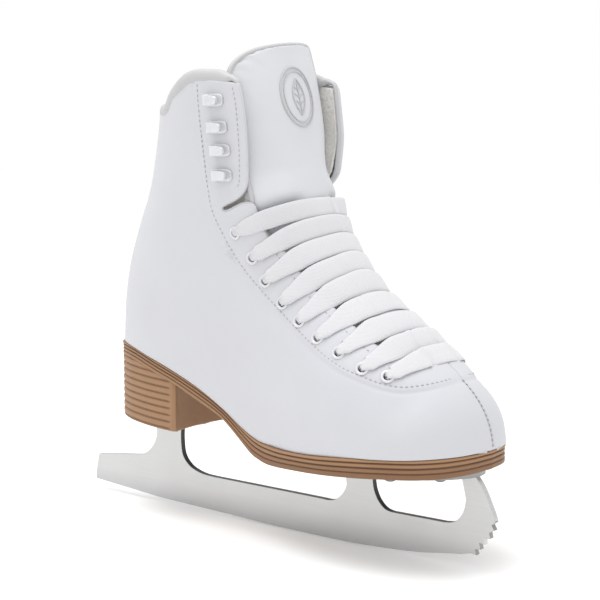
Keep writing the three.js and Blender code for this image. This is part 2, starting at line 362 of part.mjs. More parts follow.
// lace: one cord, in and out of every eyelet, a bar over the tongue at each pair, its ends inside
{
  const path = [], bar = (i, s) => {
    const { p, n } = eyeletAt[i], q = s < 0 ? flip(p) : p.clone(), m = s < 0 ? flip(n) : n.clone();
    const inside = q.clone().addScaledVector(m, -5.9), out = q.clone().addScaledVector(m, 3.8);
    const o = flip(out), pin = flip(inside);
    const cz = p.z + 14, cx = crestAt(cz), dx = cx - p.x, dz = cz - p.z, L = Math.hypot(dx, dz), mx = dx / L, mz = dz / L;
    const ex = p.x, ez = p.z;
    const pts = [];
    for (const f of [0.95, 0.86, 0.62, 0.3, 0, -0.3, -0.62, -0.86, -0.95]) {
      const y = f * p.y, d = -3.6;
      let lo = 0, hi = 70;
      for (let k = 0; k < 30; k++) { const t = (lo + hi) / 2; if (half(ex + mx * t, ez + mz * t, d) > Math.abs(y) + 0.01) lo = t; else hi = t; }
      pts.push(new THREE.Vector3(ex + mx * lo, (s < 0 ? -1 : 1) * y, ez + mz * lo));
    }
    path.push(inside, q.clone().addScaledVector(m, -3), q.clone().addScaledVector(m, 1.2), out, ...pts, o, flip(q.clone().addScaledVector(m, 1.2)), flip(q.clone().addScaledVector(m, -3)), pin);
  };
  for (let i = 0; i < 9; i++) bar(i, i % 2 ? 1 : -1);
  // round section carried along the path
  const n = path.length, rings = [];
  let up = new THREE.Vector3(1, 0, 0);
  for (let i = 0; i < n; i++) {
    const t = path[Math.min(i + 1, n - 1)].clone().sub(path[Math.max(i - 1, 0)]).normalize();
    up = up.clone().addScaledVector(t, -up.dot(t)).normalize();
    const w = t.clone().cross(up), ring = [];
    for (let k = 0; k < 6; k++) { const a = (k * Math.PI) / 3; ring.push(path[i].clone().addScaledVector(up, LACE_R * Math.cos(a)).addScaledVector(w, LACE_R * Math.sin(a)).toArray()); }
    rings.push(ring);
  }
  add('lace', loft(rings), 0xf2f2f4, 0.9);
}

// ---------------------------------------------------------------- scene graph
const skate = new THREE.Group();
skate.name = 'figure_skate';
skate.position.x = SHIFT_X;
for (const { name, solid, color, roughness, metalness, swing } of parts) {
  const m = solid.getMesh(), v = Float32Array.from(m.vertProperties);
  if (swing) for (let i = 0; i < v.length; i += 3) v[i + 1] += toeSwing(v[i]);
  const geo = new THREE.BufferGeometry();
  geo.setAttribute('position', new THREE.BufferAttribute(v, 3));
  geo.setIndex(Array.from(m.triVerts));
  geo.computeVertexNormals();
  const mesh = new THREE.Mesh(geo, new THREE.MeshStandardMaterial({ color, roughness, metalness }));
  mesh.name = name;
  skate.add(mesh);
}
export default skate;
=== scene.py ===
# Figure skate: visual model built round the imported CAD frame.
import bpy, bmesh, math
import numpy as np
from mathutils import Vector, Matrix


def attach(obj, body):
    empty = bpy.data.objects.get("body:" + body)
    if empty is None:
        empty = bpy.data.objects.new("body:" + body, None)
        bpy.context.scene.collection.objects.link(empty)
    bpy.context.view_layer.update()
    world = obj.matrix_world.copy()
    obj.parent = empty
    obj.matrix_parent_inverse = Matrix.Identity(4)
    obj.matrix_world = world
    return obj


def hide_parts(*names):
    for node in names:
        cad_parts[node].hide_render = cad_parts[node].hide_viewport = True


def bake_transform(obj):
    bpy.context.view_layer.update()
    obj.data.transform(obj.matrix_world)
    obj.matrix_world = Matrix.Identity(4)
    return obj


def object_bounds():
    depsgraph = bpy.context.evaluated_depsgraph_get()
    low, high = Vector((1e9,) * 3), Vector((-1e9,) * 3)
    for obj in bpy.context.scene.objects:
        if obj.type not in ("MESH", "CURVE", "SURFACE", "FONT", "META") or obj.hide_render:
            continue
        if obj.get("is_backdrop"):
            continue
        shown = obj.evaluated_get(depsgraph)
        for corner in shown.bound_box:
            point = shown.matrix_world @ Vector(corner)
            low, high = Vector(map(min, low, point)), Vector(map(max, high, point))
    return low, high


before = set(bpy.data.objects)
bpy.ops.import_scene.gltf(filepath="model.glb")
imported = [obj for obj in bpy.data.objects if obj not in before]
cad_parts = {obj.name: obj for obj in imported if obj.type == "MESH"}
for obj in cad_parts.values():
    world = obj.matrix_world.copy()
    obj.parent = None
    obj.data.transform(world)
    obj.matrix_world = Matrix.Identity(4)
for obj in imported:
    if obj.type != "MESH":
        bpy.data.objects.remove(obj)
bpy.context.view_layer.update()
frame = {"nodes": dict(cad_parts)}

RNG = np.random.default_rng(7)
SX = 14.5                      # row frame is this much ahead of the sole centre, mm

# ------------------------------------------------------------------ camera
cam_d = bpy.data.cameras.new("cam"); cam = bpy.data.objects.new("cam", cam_d)
bpy.context.scene.collection.objects.link(cam)
cam_d.sensor_width = 36.0; cam_d.lens = 36.0 * 1466 / 600
cam_d.clip_start = 0.05; cam_d.clip_end = 20
A, E = math.radians(38.9), math.radians(6.6)
cam.location = ((505 + SX) / 1000, -0.622, 0.222)
cam.rotation_euler = Vector((-math.sin(A) * math.cos(E), math.cos(A) * math.cos(E), -math.sin(E))).to_track_quat("-Z", "Y").to_euler()
bpy.context.scene.camera = cam

# ------------------------------------------------------------------ shape tables (mm, about the sole centre)
XB = np.array([(38,-121),(80,-123),(96,-122.8),(111,-121.8),(123,-120.6),(135,-118.4),(147,-115.4),(157,-112),(166,-108.4),(175,-104.6),(183,-100.7),(190,-98.0),(200,-95.0),(211,-92.3),(220,-90.2),(232,-88.1),(240,-86.9),(290,-84.7)], float)
RB = np.array([(38,42),(100,42),(130,44),(165,48),(200,50),(290,52)], float)
NB = np.array([(38,2.15),(120,2.1),(290,2.2)], float)
CREST = np.array([(10.5,290,16,2.5),(10,272,16,2.5),(9.5,256,16,2.5),(9,240,16,2.5),(9.3,225,17,2.5),(10.5,210,20,2.4),(13.5,197,26,2.2),(18,186,33,2.1),(23.6,176,40,2),(30.5,165.6,45,2),(38.6,155,48,2),(47.6,145,48,2),(57.6,136,47,2.05),(68.5,127.5,45,2.1),(79.5,119.6,43,2.15),(89.6,112,42,2.2),(98.8,105,42,2.2),(107,98,43,2.15),(114,91,45,2.25),(119.3,83.5,47,2.32),(122.8,75.5,49,2.36),(124.7,67,50,2.36),(125.2,60,50,2.36),(125,50,50,2.36),(124.6,36,50,2.36)], float)
WX = np.array([-125,-80,-45,-15,10,35,60,90,126], float)
WZ = np.array([50,75,100,130,165,200,235,270], float)
WT = np.array([[29.5,29.5,28.5,29,34,40.5,43.3,43,43],[30,30,29,30,35,41,43.6,43.2,43],[31,31,30.5,31.5,35,39.5,42,42,42],[33,33,33,33.5,35,37.5,39.5,40,40],[34.5,34.5,35,35,35.5,36.5,37,37,37],[36.5,36.5,37.5,38,38.5,38.5,38.5,38,38],[38.5,38.5,40,41,41.5,41.5,41.5,41,41],[39.5,39.5,41.5,42.5,43,43,43,43,43]], float)
FEATHER = np.array([(-126,98.6),(-105,98.3),(-96,96.8),(-82,92.7),(-71,88.9),(-60,84.6),(-45,78),(-27,68.4),(-15,61.1),(-2,55.9),(12,54.6),(37,55.3),(70,58.1),(95,59.9),(112,61.1),(128,62)], float)
SOLE_UNDER = np.array([(-126,90.6),(-105,90.5),(-96,89),(-82,85),(-71,81.2),(-64,78.8),(-55,74.5),(-45,69.8),(-36,66),(-29,62.5),(-22,57.2),(-15,52.2),(-6.5,46.4),(4,43.9),(10,43.9),(119,51.2),(128,52.2)], float)
SOLE_OUT = np.array([(-124.5,0),(-122,11),(-115,20),(-105,25.5),(-95,28),(-80,29.5),(-60,28.5),(-40,27),(-20,27.5),(0,31),(20,37),(40,41.5),(55,43.3),(70,43),(85,40.5),(100,35.5),(110,30),(117,23.5),(122,15),(124.5,0)], float)
COLLAR = np.array([(-100,238.5),(-80,237.2),(-64.7,238),(-59.3,244),(-51.7,249),(-44.2,253),(-36.8,254.7),(-26,254.5),(-16.7,253.7),(-11.1,253)], float)
CUFF_FRONT = np.array([(-5.6,248.1),(-3.8,243.9),(-2.5,237.7),(-1.8,222.2),(-2.2,206.5),(-3.7,193.4),(-6.2,189.1),(-11.2,185.6),(-18.4,182.7),(-21.8,180.6),(-20.1,178.8),(-17.5,178.9),(-11.4,181.2),(-4.5,183.5),(-0.7,182.8),(0.6,179.7),(1.1,177)], float)
STAY_EDGE = np.array([(5.9,165.5),(13.9,159.3),(23.1,149.2),(32.2,140.3),(45.6,130.7),(57.9,122.9),(71,114.8),(83.1,109.6),(92,106.5),(97,112)], float)
STAY_OUTER = np.array([(-36.4,256),(-36.1,248.8),(-35.6,232.9),(-34.2,211.5),(-32.3,190),(-30.4,179.3),(-23.5,166),(-13.9,153),(-0.1,139.3),(17.1,125.7),(32.1,115.6),(46.6,107.2),(60.6,101),(72.3,97.5),(83.4,94.5),(92.9,93.2),(100.4,93.9),(105.9,95.2),(108.6,96.6)], float)
EYELETS = [(-12.6,167.6),(-1.8,154.7),(6.7,142.9),(18.2,132),(30.2,123.5),(43.2,115.9),(57.2,109.5),(72.1,102.8),(85.2,99.6)]
HOOKS = [(-21.7,238),(-20,223.8),(-18.8,211.6),(-18.6,198.4)]
BARS = [(20.4,181.2),(26.2,172.2),(32.8,162.6),(40.5,152.8),(49.4,143.5),(60.6,133.7),(73.2,124.2),(85.2,115.3),(94.7,108)]

def hermite(xs, ys, x):
    x = np.clip(x, xs[0], xs[-1]); i = np.clip(np.searchsorted(xs, x, side='right') - 1, 0, len(xs) - 2)
    h = np.diff(xs); s = np.diff(ys) / h; d = np.empty(len(xs))
    d[1:-1] = (s[:-1] * h[1:] + s[1:] * h[:-1]) / (h[1:] + h[:-1]); d[0] = s[0]; d[-1] = s[-1]
    t = (x - xs[i]) / h[i]; t2 = t * t; t3 = t2 * t
    return (2*t3 - 3*t2 + 1) * ys[i] + (t3 - 2*t2 + t) * h[i] * d[i] + (-2*t3 + 3*t2) * ys[i+1] + (t3 - t2) * h[i] * d[i+1]
def tab(T, x): return hermite(T[:, 0], T[:, 1], x)
def lin(T, x): return np.interp(x, T[:, 0], T[:, 1])
_u = np.arange(len(CREST), dtype=float); _d = np.linspace(0, len(CREST) - 1, (len(CREST) - 1) * 14 + 1)
CX, CZ, CR, CN = [hermite(_u, CREST[:, k], _d) for k in range(4)]
def crest_x(z): return np.interp(z, CZ[::-1], CX[::-1])
def width(x, z):
    x, z = np.broadcast_arrays(np.asarray(x, float), np.asarray(z, float)); sh = x.shape
    c = np.stack([hermite(WZ, WT[:, j], z.ravel()) for j in range(len(WX))], -1)
    xs = np.clip(x.ravel(), WX[0], WX[-1]); i = np.clip(np.searchsorted(WX, xs, side='right') - 1, 0, len(WX) - 2)
    h = np.diff(WX); s = np.diff(c, axis=1) / h; d = np.empty_like(c)
    d[:, 1:-1] = (s[:, :-1] * h[1:] + s[:, 1:] * h[:-1]) / (h[1:] + h[:-1]); d[:, 0] = s[:, 0]; d[:, -1] = s[:, -1]
    k = np.arange(len(xs)); t = (xs - WX[i]) / h[i]; t2 = t*t; t3 = t2*t
    return ((2*t3 - 3*t2 + 1) * c[k, i] + (t3 - 2*t2 + t) * h[i] * d[k, i] + (-2*t3 + 3*t2) * c[k, i+1] + (t3 - t2) * h[i] * d[k, i+1]).reshape(sh)
def crest_depth(x, z):
    x, z = np.broadcast_arrays(np.asarray(x, float), np.asarray(z, float)); sh = x.shape; x = x.ravel(); z = z.ravel()
    ax, az = CX[:-1], CZ[:-1]; ex, ez = CX[1:] - ax, CZ[1:] - az; L2 = ex*ex + ez*ez
    D = np.empty(len(x)); R = np.empty(len(x)); N = np.empty(len(x))
    for k0 in range(0, len(x), 4000):
        X = x[k0:k0+4000, None]; Z = z[k0:k0+4000, None]
        t = np.clip(((X - ax) * ex + (Z - az) * ez) / L2, 0, 1); dx = X - (ax + t*ex); dz = Z - (az + t*ez); dd = dx*dx + dz*dz
        j = np.argmin(dd, 1); r = np.arange(len(j)); tj = t[r, j]
        D[k0:k0+4000] = np.sqrt(dd[r, j]) * np.where(ex[j] * dz[r, j] - ez[j] * dx[r, j] <= 0, 1, -1)
        R[k0:k0+4000] = CR[j] * (1 - tj) + CR[j+1] * tj; N[k0:k0+4000] = CN[j] * (1 - tj) + CN[j+1] * tj
    return D.reshape(sh), R.reshape(sh), N.reshape(sh)
def rnd(q, n):
    q = np.clip(q, 0, 1); return (1 - (1 - q) ** n) ** (1 / n)
def half(x, z, d=0.0):
    x, z = np.broadcast_arrays(np.asarray(x, float), np.asarray(z, float))
    D, R, N = crest_depth(x, z); rb = tab(RB, z)
    return (width(x, z) - d) * rnd((x - tab(XB, z) - d) / (rb - d), tab(NB, z)) * rnd((D - d) / (R - d), N)
def swing(x): return np.where(x > 100, 4 * ((np.maximum(x, 100) - 100) / 24.5) ** 2, 0)
def smooth(a, b, x):
    t = np.clip((np.asarray(x, float) - a) / (b - a), 0, 1); return t * t * (3 - 2 * t)
def grad(x, z, d=0.0, e=0.4):
    return (half(x + e, z, d) - half(x - e, z, d)) / (2*e), (half(x, z + e, d) - half(x, z - e, d)) / (2*e)
def surf(x, z, side, d=0.0):
    """point of the boot's outer face and its outward normal; d goes inward along the normal"""
    x = np.atleast_1d(np.asarray(x, float)); z = np.atleast_1d(np.asarray(z, float))
    y = half(x, z); gx, gz = grad(x, z); n = np.stack([-gx, np.ones_like(gx), -gz], -1); n /= np.linalg.norm(n, axis=-1, keepdims=True)
    n[:, 1] *= side; P = np.stack([x, side * y, z], -1)
    return P - n * np.reshape(d, (-1, 1)), n

def resample(P, step):
    P = np.asarray(P, float); s = np.r_[0, np.cumsum(np.linalg.norm(np.diff(P, axis=0), axis=1))]
    n = max(int(round(s[-1] / step)), 1); q = np.linspace(0, s[-1], n + 1)
    return np.stack([np.interp(q, s, P[:, k]) for k in range(P.shape[1])], -1)
def catmull(P, n=8, closed=False):
    P = np.asarray(P, float); out = []; N = len(P)
    for i in range(N if closed else N - 1):
        if closed: a, b, c, d = P[(i-1) % N], P[i], P[(i+1) % N], P[(i+2) % N]
        else: a, b, c, d = P[max(i-1, 0)], P[i], P[i+1], P[min(i+2, N-1)]
        la, lb, lc = [max(np.linalg.norm(v), 1e-6) ** 0.5 for v in (b - a, c - b, d - c)]
        m1 = (c - b) + lb * ((b - a) / la - (c - a) / (la + lb)) if np.linalg.norm(b - a) > 1e-6 else (c - b)
        m2 = (c - b) + lb * ((d - c) / lc - (d - b) / (lb + lc)) if np.linalg.norm(d - c) > 1e-6 else (c - b)
        for t in np.arange(n) / n:
            t2, t3 = t*t, t*t*t
            out.append((2*t3 - 3*t2 + 1) * b + (t3 - 2*t2 + t) * m1 + (-2*t3 + 3*t2) * c + (t3 - t2) * m2)
    if not closed: out.append(P[-1])
    return np.array(out)
def seg_near(P, Q):
    """distance of points P (n,2) to the polyline Q and the nearest points"""
    a = Q[:-1]; e = Q[1:] - a; L = (e**2).sum(1) + 1e-12; best = np.full(len(P), 1e9); near = np.zeros_like(P)
    for k0 in range(0, len(P), 5000):
        p = P[k0:k0+5000]; t = np.clip(((p[:, None] - a) * e).sum(2) / L, 0, 1); c = a + t[..., None] * e
        d = ((p[:, None] - c) ** 2).sum(2); j = d.argmin(1); r = np.arange(len(p)); best[k0:k0+5000] = np.sqrt(d[r, j]); near[k0:k0+5000] = c[r, j]
    return best, near
def inside(P, poly):
    x, y = P[:, 0], P[:, 1]; c = np.zeros(len(P), bool); n = len(poly)
    for i in range(n):
        x1, y1 = poly[i]; x2, y2 = poly[(i + 1) % n]
        if y1 == y2: continue
        c ^= ((y1 > y) != (y2 > y)) & (x < (x2 - x1) * (y - y1) / (y2 - y1) + x1)
    return c

# ------------------------------------------------------------------ mesh helpers
def emit(name, V, F, mats, body=None, slot=None, swung=True, midx=None, smooth_shade=True, uv=None, groove_and_stack_shade=None):
    V = np.array(V, float)
    if swung:   # the far flap stands a little further forward and out than the near one
        fl_ = smooth(187, 200, V[:, 2]) * (1 - 0.65 * smooth(214, 242, V[:, 2])) * smooth(-55, 6, V[:, 0]) * smooth(8, 16, V[:, 1])
        V[:, 1] += swing(V[:, 0]) + 1.8 * fl_; V[:, 0] += 4.0 * fl_
    V = (V + [SX, 0, 0]) / 1000
    me = bpy.data.meshes.new(name); me.from_pydata(V.tolist(), [], [tuple(int(i) for i in f) for f in F]); me.validate(); me.update()
    ob = bpy.data.objects.new(name, me); bpy.context.scene.collection.objects.link(ob)
    for m in (mats if isinstance(mats, (list, tuple)) else [mats]): me.materials.append(m)
    if midx is not None: me.polygons.foreach_set("material_index", np.asarray(midx, dtype=np.int32))
    if smooth_shade: me.polygons.foreach_set("use_smooth", np.ones(len(me.polygons), bool))
    if uv is not None:
        L = me.uv_layers.new(name="UVMap"); idx = np.empty(len(me.loops), dtype=np.int64); me.loops.foreach_get("vertex_index", idx)
        L.data.foreach_set("uv", np.asarray(uv, float)[idx].astype(np.float32).ravel())
    if groove_and_stack_shade is not None:
        at = me.attributes.new("groove_and_stack_shade", "FLOAT_COLOR", "POINT"); t_ = np.ones((len(V), 4)); t_[:, :3] = groove_and_stack_shade; at.data.foreach_set("color", t_.astype(np.float32).ravel())
    if body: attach(ob, body)
    return ob
class Bag:
    """several closed forms gathered in one mesh"""
    def __init__(s): s.V, s.F, s.U, s.n = [], [], [], 0
    def add(s, V, F, U=None):
        V = np.asarray(V, float); s.V.append(V); s.F += [tuple(i + s.n for i in f) for f in F]; s.U.append(np.zeros((len(V), 2)) if U is None else np.asarray(U, float)); s.n += len(V)
    def emit(s, name, mats, **k): return emit(name, np.vstack(s.V), s.F, mats, uv=np.vstack(s.U), **k)
def tube_rings(R, caps=True):
    """R (n,m,3): closed rings joined into a closed form"""
    n, m = R.shape[:2]; F = []
    for i in range(n - 1):
        for j in range(m):
            a, b = i*m + j, i*m + (j+1) % m; F.append((a, b, b + m, a + m))
    V = R.reshape(-1, 3)
    if caps: F.append(tuple(range(m))[::-1]); F.append(tuple(range((n-1)*m, n*m)))
    return V, F
def sweep(P, N, a, b, m=12, power=2.4, tilt=None, taper_ends=True):
    """flat or round section along P: half width a across the path, half thickness b along the normal N"""
    P = np.asarray(P, float); n = len(P); T = np.gradient(P, axis=0); T /= np.linalg.norm(T, axis=1, keepdims=True)
    N = np.asarray(N, float); N = N - (N * T).sum(1, keepdims=True) * T; N /= np.linalg.norm(N, axis=1, keepdims=True)
    W = np.cross(T, N); a = np.broadcast_to(a, n).astype(float); b = np.broadcast_to(b, n).astype(float)
    if tilt is not None:
        c, s = np.cos(tilt)[:, None], np.sin(tilt)[:, None]; W, N = W*c + N*s, N*c - W*s
    th = np.arange(m) * 2 * np.pi / m; c = np.sign(np.cos(th)) * np.abs(np.cos(th)) ** (2/power); s = np.sign(np.sin(th)) * np.abs(np.sin(th)) ** (2/power)
    R = P[:, None] + W[:, None] * (a[:, None] * c)[..., None] + N[:, None] * (b[:, None] * s)[..., None]
    L = np.r_[0, np.cumsum(np.linalg.norm(np.diff(P, axis=0), axis=1))]
    U = np.stack([np.broadcast_to(L[:, None], (n, m)), np.broadcast_to(a[:, None] * c, (n, m))], -1).reshape(-1, 2)
    V, F = tube_rings(R)
    return V, F, U
def lathe(prof, seg, origin, axis):
    ax = Vector(axis).normalized(); q = Vector((0, 0, 1)).rotation_difference(ax).to_matrix(); q = np.array(q)
    prof = np.asarray(prof, float); th = np.arange(seg) * 2 * np.pi / seg; m = len(prof)
    V = np.stack([prof[:, 0][:, None] * np.cos(th), prof[:, 0][:, None] * np.sin(th), np.broadcast_to(prof[:, 1][:, None], (m, seg))], -1).reshape(-1, 3) @ q.T + np.asarray(origin, float)
    F = [(i*seg + j, i*seg + (j+1) % seg, ((i+1) % m)*seg + (j+1) % seg, ((i+1) % m)*seg + j) for i in range(m) for j in range(seg)]
    return V, F
def vnormals(V, F):
    F = np.asarray(F); a, b, c, d = V[F[:, 0]], V[F[:, 1]], V[F[:, 2]], V[F[:, 3]]; n = np.cross(c - a, d - b); N = np.zeros_like(V)
    for k in range(4): np.add.at(N, F[:, k], n)
    return N / np.maximum(np.linalg.norm(N, axis=1, keepdims=True), 1e-9)

# ------------------------------------------------------------------ materials
def mat(name):
    m = bpy.data.materials.new(name); m.use_nodes = True; nt = m.node_tree; b = nt.nodes["Principled BSDF"]; return m, nt, b
def nd(nt, kind, **k):
    n = nt.nodes.new(kind)
    for a, v in k.items():
        if a.startswith("i_"):
            key = a[2:]; key = int(key) if key.isdigit() else key.replace("_", " "); n.inputs[key].default_value = v
        else: setattr(n, a, v)
    return n
def ramp(nt, fac, stops, interp="LINEAR"):
    r = nt.nodes.new("ShaderNodeValToRGB"); r.color_ramp.interpolation = interp; e = r.color_ramp.elements
    while len(e) < len(stops): e.new(0.5)
    for q, (p, c) in zip(e, stops): q.position = p; q.color = (*c, 1) if len(c) == 3 else c
    nt.links.new(fac, r.inputs[0]); return r.outputs[0]
def chain_bump(nt, bsdf, items):
    prev = None
    for h, strength, dist in items:
        b = nd(nt, "ShaderNodeBump", i_Strength=strength, i_Distance=dist); nt.links.new(h, b.inputs["Height"])
        if prev is not None: nt.links.new(prev, b.inputs["Normal"])
        prev = b.outputs[0]
    nt.links.new(prev, bsdf.inputs["Normal"])
def leather(name, base, shade, rough=0.42, grain=1.0, coat=0.0):
    m, nt, b = mat(name); tc = nd(nt, "ShaderNodeTexCoord")
    n1 = nd(nt, "ShaderNodeTexNoise", i_Scale=26.0, i_Detail=4.0, i_Roughness=0.55); nt.links.new(tc.outputs["Object"], n1.inputs["Vector"])
    nt.links.new(ramp(nt, n1.outputs[0], [(0.3, shade), (0.7, base)]), b.inputs["Base Color"])
    v = nd(nt, "ShaderNodeTexVoronoi", feature="DISTANCE_TO_EDGE", i_Scale=1100.0); nt.links.new(tc.outputs["Object"], v.inputs["Vector"])
    f = nd(nt, "ShaderNodeTexNoise", i_Scale=2600.0, i_Detail=3.0); nt.links.new(tc.outputs["Object"], f.inputs["Vector"])
    big = nd(nt, "ShaderNodeTexNoise", i_Scale=42.0, i_Detail=2.0); nt.links.new(tc.outputs["Object"], big.inputs["Vector"])
    chain_bump(nt, b, [(big.outputs[0], 0.12, 0.002), (v.outputs[0], 0.10 * grain, 0.0004), (f.outputs[0], 0.10 * grain, 0.0002)])
    r = nd(nt, "ShaderNodeMapRange", i_3=rough - 0.07, i_4=rough + 0.09); nt.links.new(n1.outputs[0], r.inputs[0]); nt.links.new(r.outputs[0], b.inputs["Roughness"])
    b.inputs["Specular IOR Level"].default_value = 0.42
    b.inputs["Coat Weight"].default_value = coat; b.inputs["Coat Roughness"].default_value = 0.35
    b.inputs["Subsurface Weight"].default_value = 0.06; b.inputs["Subsurface Radius"].default_value = (0.6, 0.6, 0.7); b.inputs["Subsurface Scale"].default_value = 0.0015
    return m
def fabric(name, base, shade, scale=420.0, bump=0.6, rough=0.92, sheen=0.35):
    m, nt, b = mat(name); tc = nd(nt, "ShaderNodeTexCoord")
    n1 = nd(nt, "ShaderNodeTexNoise", i_Scale=scale, i_Detail=6.0, i_Roughness=0.7); nt.links.new(tc.outputs["Object"], n1.inputs["Vector"])
    n2 = nd(nt, "ShaderNodeTexNoise", i_Scale=55.0, i_Detail=3.0); nt.links.new(tc.outputs["Object"], n2.inputs["Vector"])
    mx = nd(nt, "ShaderNodeMix", data_type="RGBA"); nt.links.new(n2.outputs[0], mx.inputs[0])
    nt.links.new(ramp(nt, n1.outputs[0], [(0.25, shade), (0.65, base)]), mx.inputs[6]); nt.links.new(ramp(nt, n1.outputs[0], [(0.3, tuple(c * 0.93 for c in shade)), (0.7, base)]), mx.inputs[7])
    nt.links.new(mx.outputs[2], b.inputs["Base Color"]); b.inputs["Roughness"].default_value = rough
    b.inputs["Sheen Weight"].default_value = sheen; b.inputs["Sheen Roughness"].default_value = 0.5
    chain_bump(nt, b, [(n1.outputs[0], bump, 0.0008)])
    return m
def lace_mat(name):
    m, nt, b = mat(name); uv = nd(nt, "ShaderNodeUVMap", uv_map="UVMap"); sp = nd(nt, "ShaderNodeSeparateXYZ"); nt.links.new(uv.outputs[0], sp.inputs[0])
    def wave(sx, sy):
        a = nd(nt, "ShaderNodeMath", operation="MULTIPLY", i_1=sx); nt.links.new(sp.outputs[0], a.inputs[0])
        c = nd(nt, "ShaderNodeMath", operation="MULTIPLY_ADD", i_1=sy); nt.links.new(sp.outputs[1], c.inputs[0]); nt.links.new(a.outputs[0], c.inputs[2])
        s = nd(nt, "ShaderNodeMath", operation="SINE"); nt.links.new(c.outputs[0], s.inputs[0]); return s.outputs[0]
    w1, w2 = wave(5.2, 6.6), wave(5.2, -6.6)
    mx = nd(nt, "ShaderNodeMath", operation="MAXIMUM"); nt.links.new(w1, mx.inputs[0]); nt.links.new(w2, mx.inputs[1])
    mr = nd(nt, "ShaderNodeMapRange", i_1=-1.0, i_2=1.0); nt.links.new(mx.outputs[0], mr.inputs[0])
    nt.links.new(ramp(nt, mr.outputs[0], [(0.1, (0.53, 0.53, 0.55)), (0.75, (0.655, 0.655, 0.675))]), b.inputs["Base Color"])
    tc = nd(nt, "ShaderNodeTexCoord"); f = nd(nt, "ShaderNodeTexNoise", i_Scale=3000.0, i_Detail=2.0); nt.links.new(tc.outputs["Object"], f.inputs["Vector"])
    chain_bump(nt, b, [(mr.outputs[0], 0.45, 0.00035), (f.outputs[0], 0.25, 0.0002)])
    b.inputs["Roughness"].default_value = 0.85; b.inputs["Sheen Weight"].default_value = 0.2
    return m
def rubber(name, base, dark, line):
    """moulded stack: the colour attribute's red channel is the depth of a groove and darkens it with painted shade, its
    green channel mixes the base colour towards the dark one as painted light and shade
    """
    m, nt, b = mat(name); tc = nd(nt, "ShaderNodeTexCoord"); at = nd(nt, "ShaderNodeAttribute", attribute_name="groove_and_stack_shade"); sp = nd(nt, "ShaderNodeSeparateColor"); nt.links.new(at.outputs["Color"], sp.inputs[0])
    n1 = nd(nt, "ShaderNodeTexNoise", i_Scale=60.0, i_Detail=5.0, i_Roughness=0.6); nt.links.new(tc.outputs["Object"], n1.inputs["Vector"])
    n2 = nd(nt, "ShaderNodeTexNoise", i_Scale=1500.0, i_Detail=3.0); nt.links.new(tc.outputs["Object"], n2.inputs["Vector"])
    # green channel: from the dark colour to the base, painted light and shade (the heel's breast, the outsole's lower
    # layers)
    painted_shade_mix = nd(nt, "ShaderNodeMix", data_type="RGBA"); nt.links.new(sp.outputs[1], painted_shade_mix.inputs[0]); painted_shade_mix.inputs[6].default_value = (*dark, 1); painted_shade_mix.inputs[7].default_value = (*base, 1)
    mot = nd(nt, "ShaderNodeMix", data_type="RGBA", blend_type="MULTIPLY", i_0=0.5); nt.links.new(painted_shade_mix.outputs[2], mot.inputs[6]); nt.links.new(ramp(nt, n1.outputs[0], [(0.25, (0.80, 0.78, 0.76)), (0.75, (1.0, 1.0, 1.0))]), mot.inputs[7])
    # red channel: grooves take the line colour, painted shade
    gr = nd(nt, "ShaderNodeMix", data_type="RGBA"); nt.links.new(sp.outputs[0], gr.inputs[0]); nt.links.new(mot.outputs[2], gr.inputs[6]); gr.inputs[7].default_value = (*line, 1)
    nt.links.new(gr.outputs[2], b.inputs["Base Color"])
    r = nd(nt, "ShaderNodeMapRange", i_3=0.44, i_4=0.6); nt.links.new(n1.outputs[0], r.inputs[0]); nt.links.new(r.outputs[0], b.inputs["Roughness"])
    chain_bump(nt, b, [(n1.outputs[0], 0.10, 0.0006), (n2.outputs[0], 0.15, 0.0002)]); b.inputs["Specular IOR Level"].default_value = 0.35
    return m
def steel(name, lo, hi, rough=0.32, edge=None):
    m, nt, b = mat(name); tc = nd(nt, "ShaderNodeTexCoord"); mp = nd(nt, "ShaderNodeMapping"); mp.inputs["Scale"].default_value = (25, 25, 2600); nt.links.new(tc.outputs["Object"], mp.inputs[0])
    n1 = nd(nt, "ShaderNodeTexNoise", i_Scale=1.0, i_Detail=4.0); nt.links.new(mp.outputs[0], n1.inputs["Vector"])
    n2 = nd(nt, "ShaderNodeTexNoise", i_Scale=35.0, i_Detail=3.0); nt.links.new(tc.outputs["Object"], n2.inputs["Vector"])
    col = ramp(nt, n1.outputs[0], [(0.3, lo), (0.7, hi)])
    # the edge colour darkens the lowest 14 mm of the object as painted shade
    if edge:
        sp = nd(nt, "ShaderNodeSeparateXYZ"); nt.links.new(tc.outputs["Object"], sp.inputs[0])
        mr = nd(nt, "ShaderNodeMapRange", i_1=0.0, i_2=0.014); nt.links.new(sp.outputs[2], mr.inputs[0])
        mx = nd(nt, "ShaderNodeMix", data_type="RGBA"); nt.links.new(mr.outputs[0], mx.inputs[0]); mx.inputs[6].default_value = (*edge, 1); nt.links.new(col, mx.inputs[7]); col = mx.outputs[2]
    nt.links.new(col, b.inputs["Base Color"]); b.inputs["Metallic"].default_value = 1.0
    r = nd(nt, "ShaderNodeMapRange", i_3=rough - 0.06, i_4=rough + 0.1); nt.links.new(n2.outputs[0], r.inputs[0]); nt.links.new(r.outputs[0], b.inputs["Roughness"])
    chain_bump(nt, b, [(n1.outputs[0], 0.06, 0.0001)])
    return m
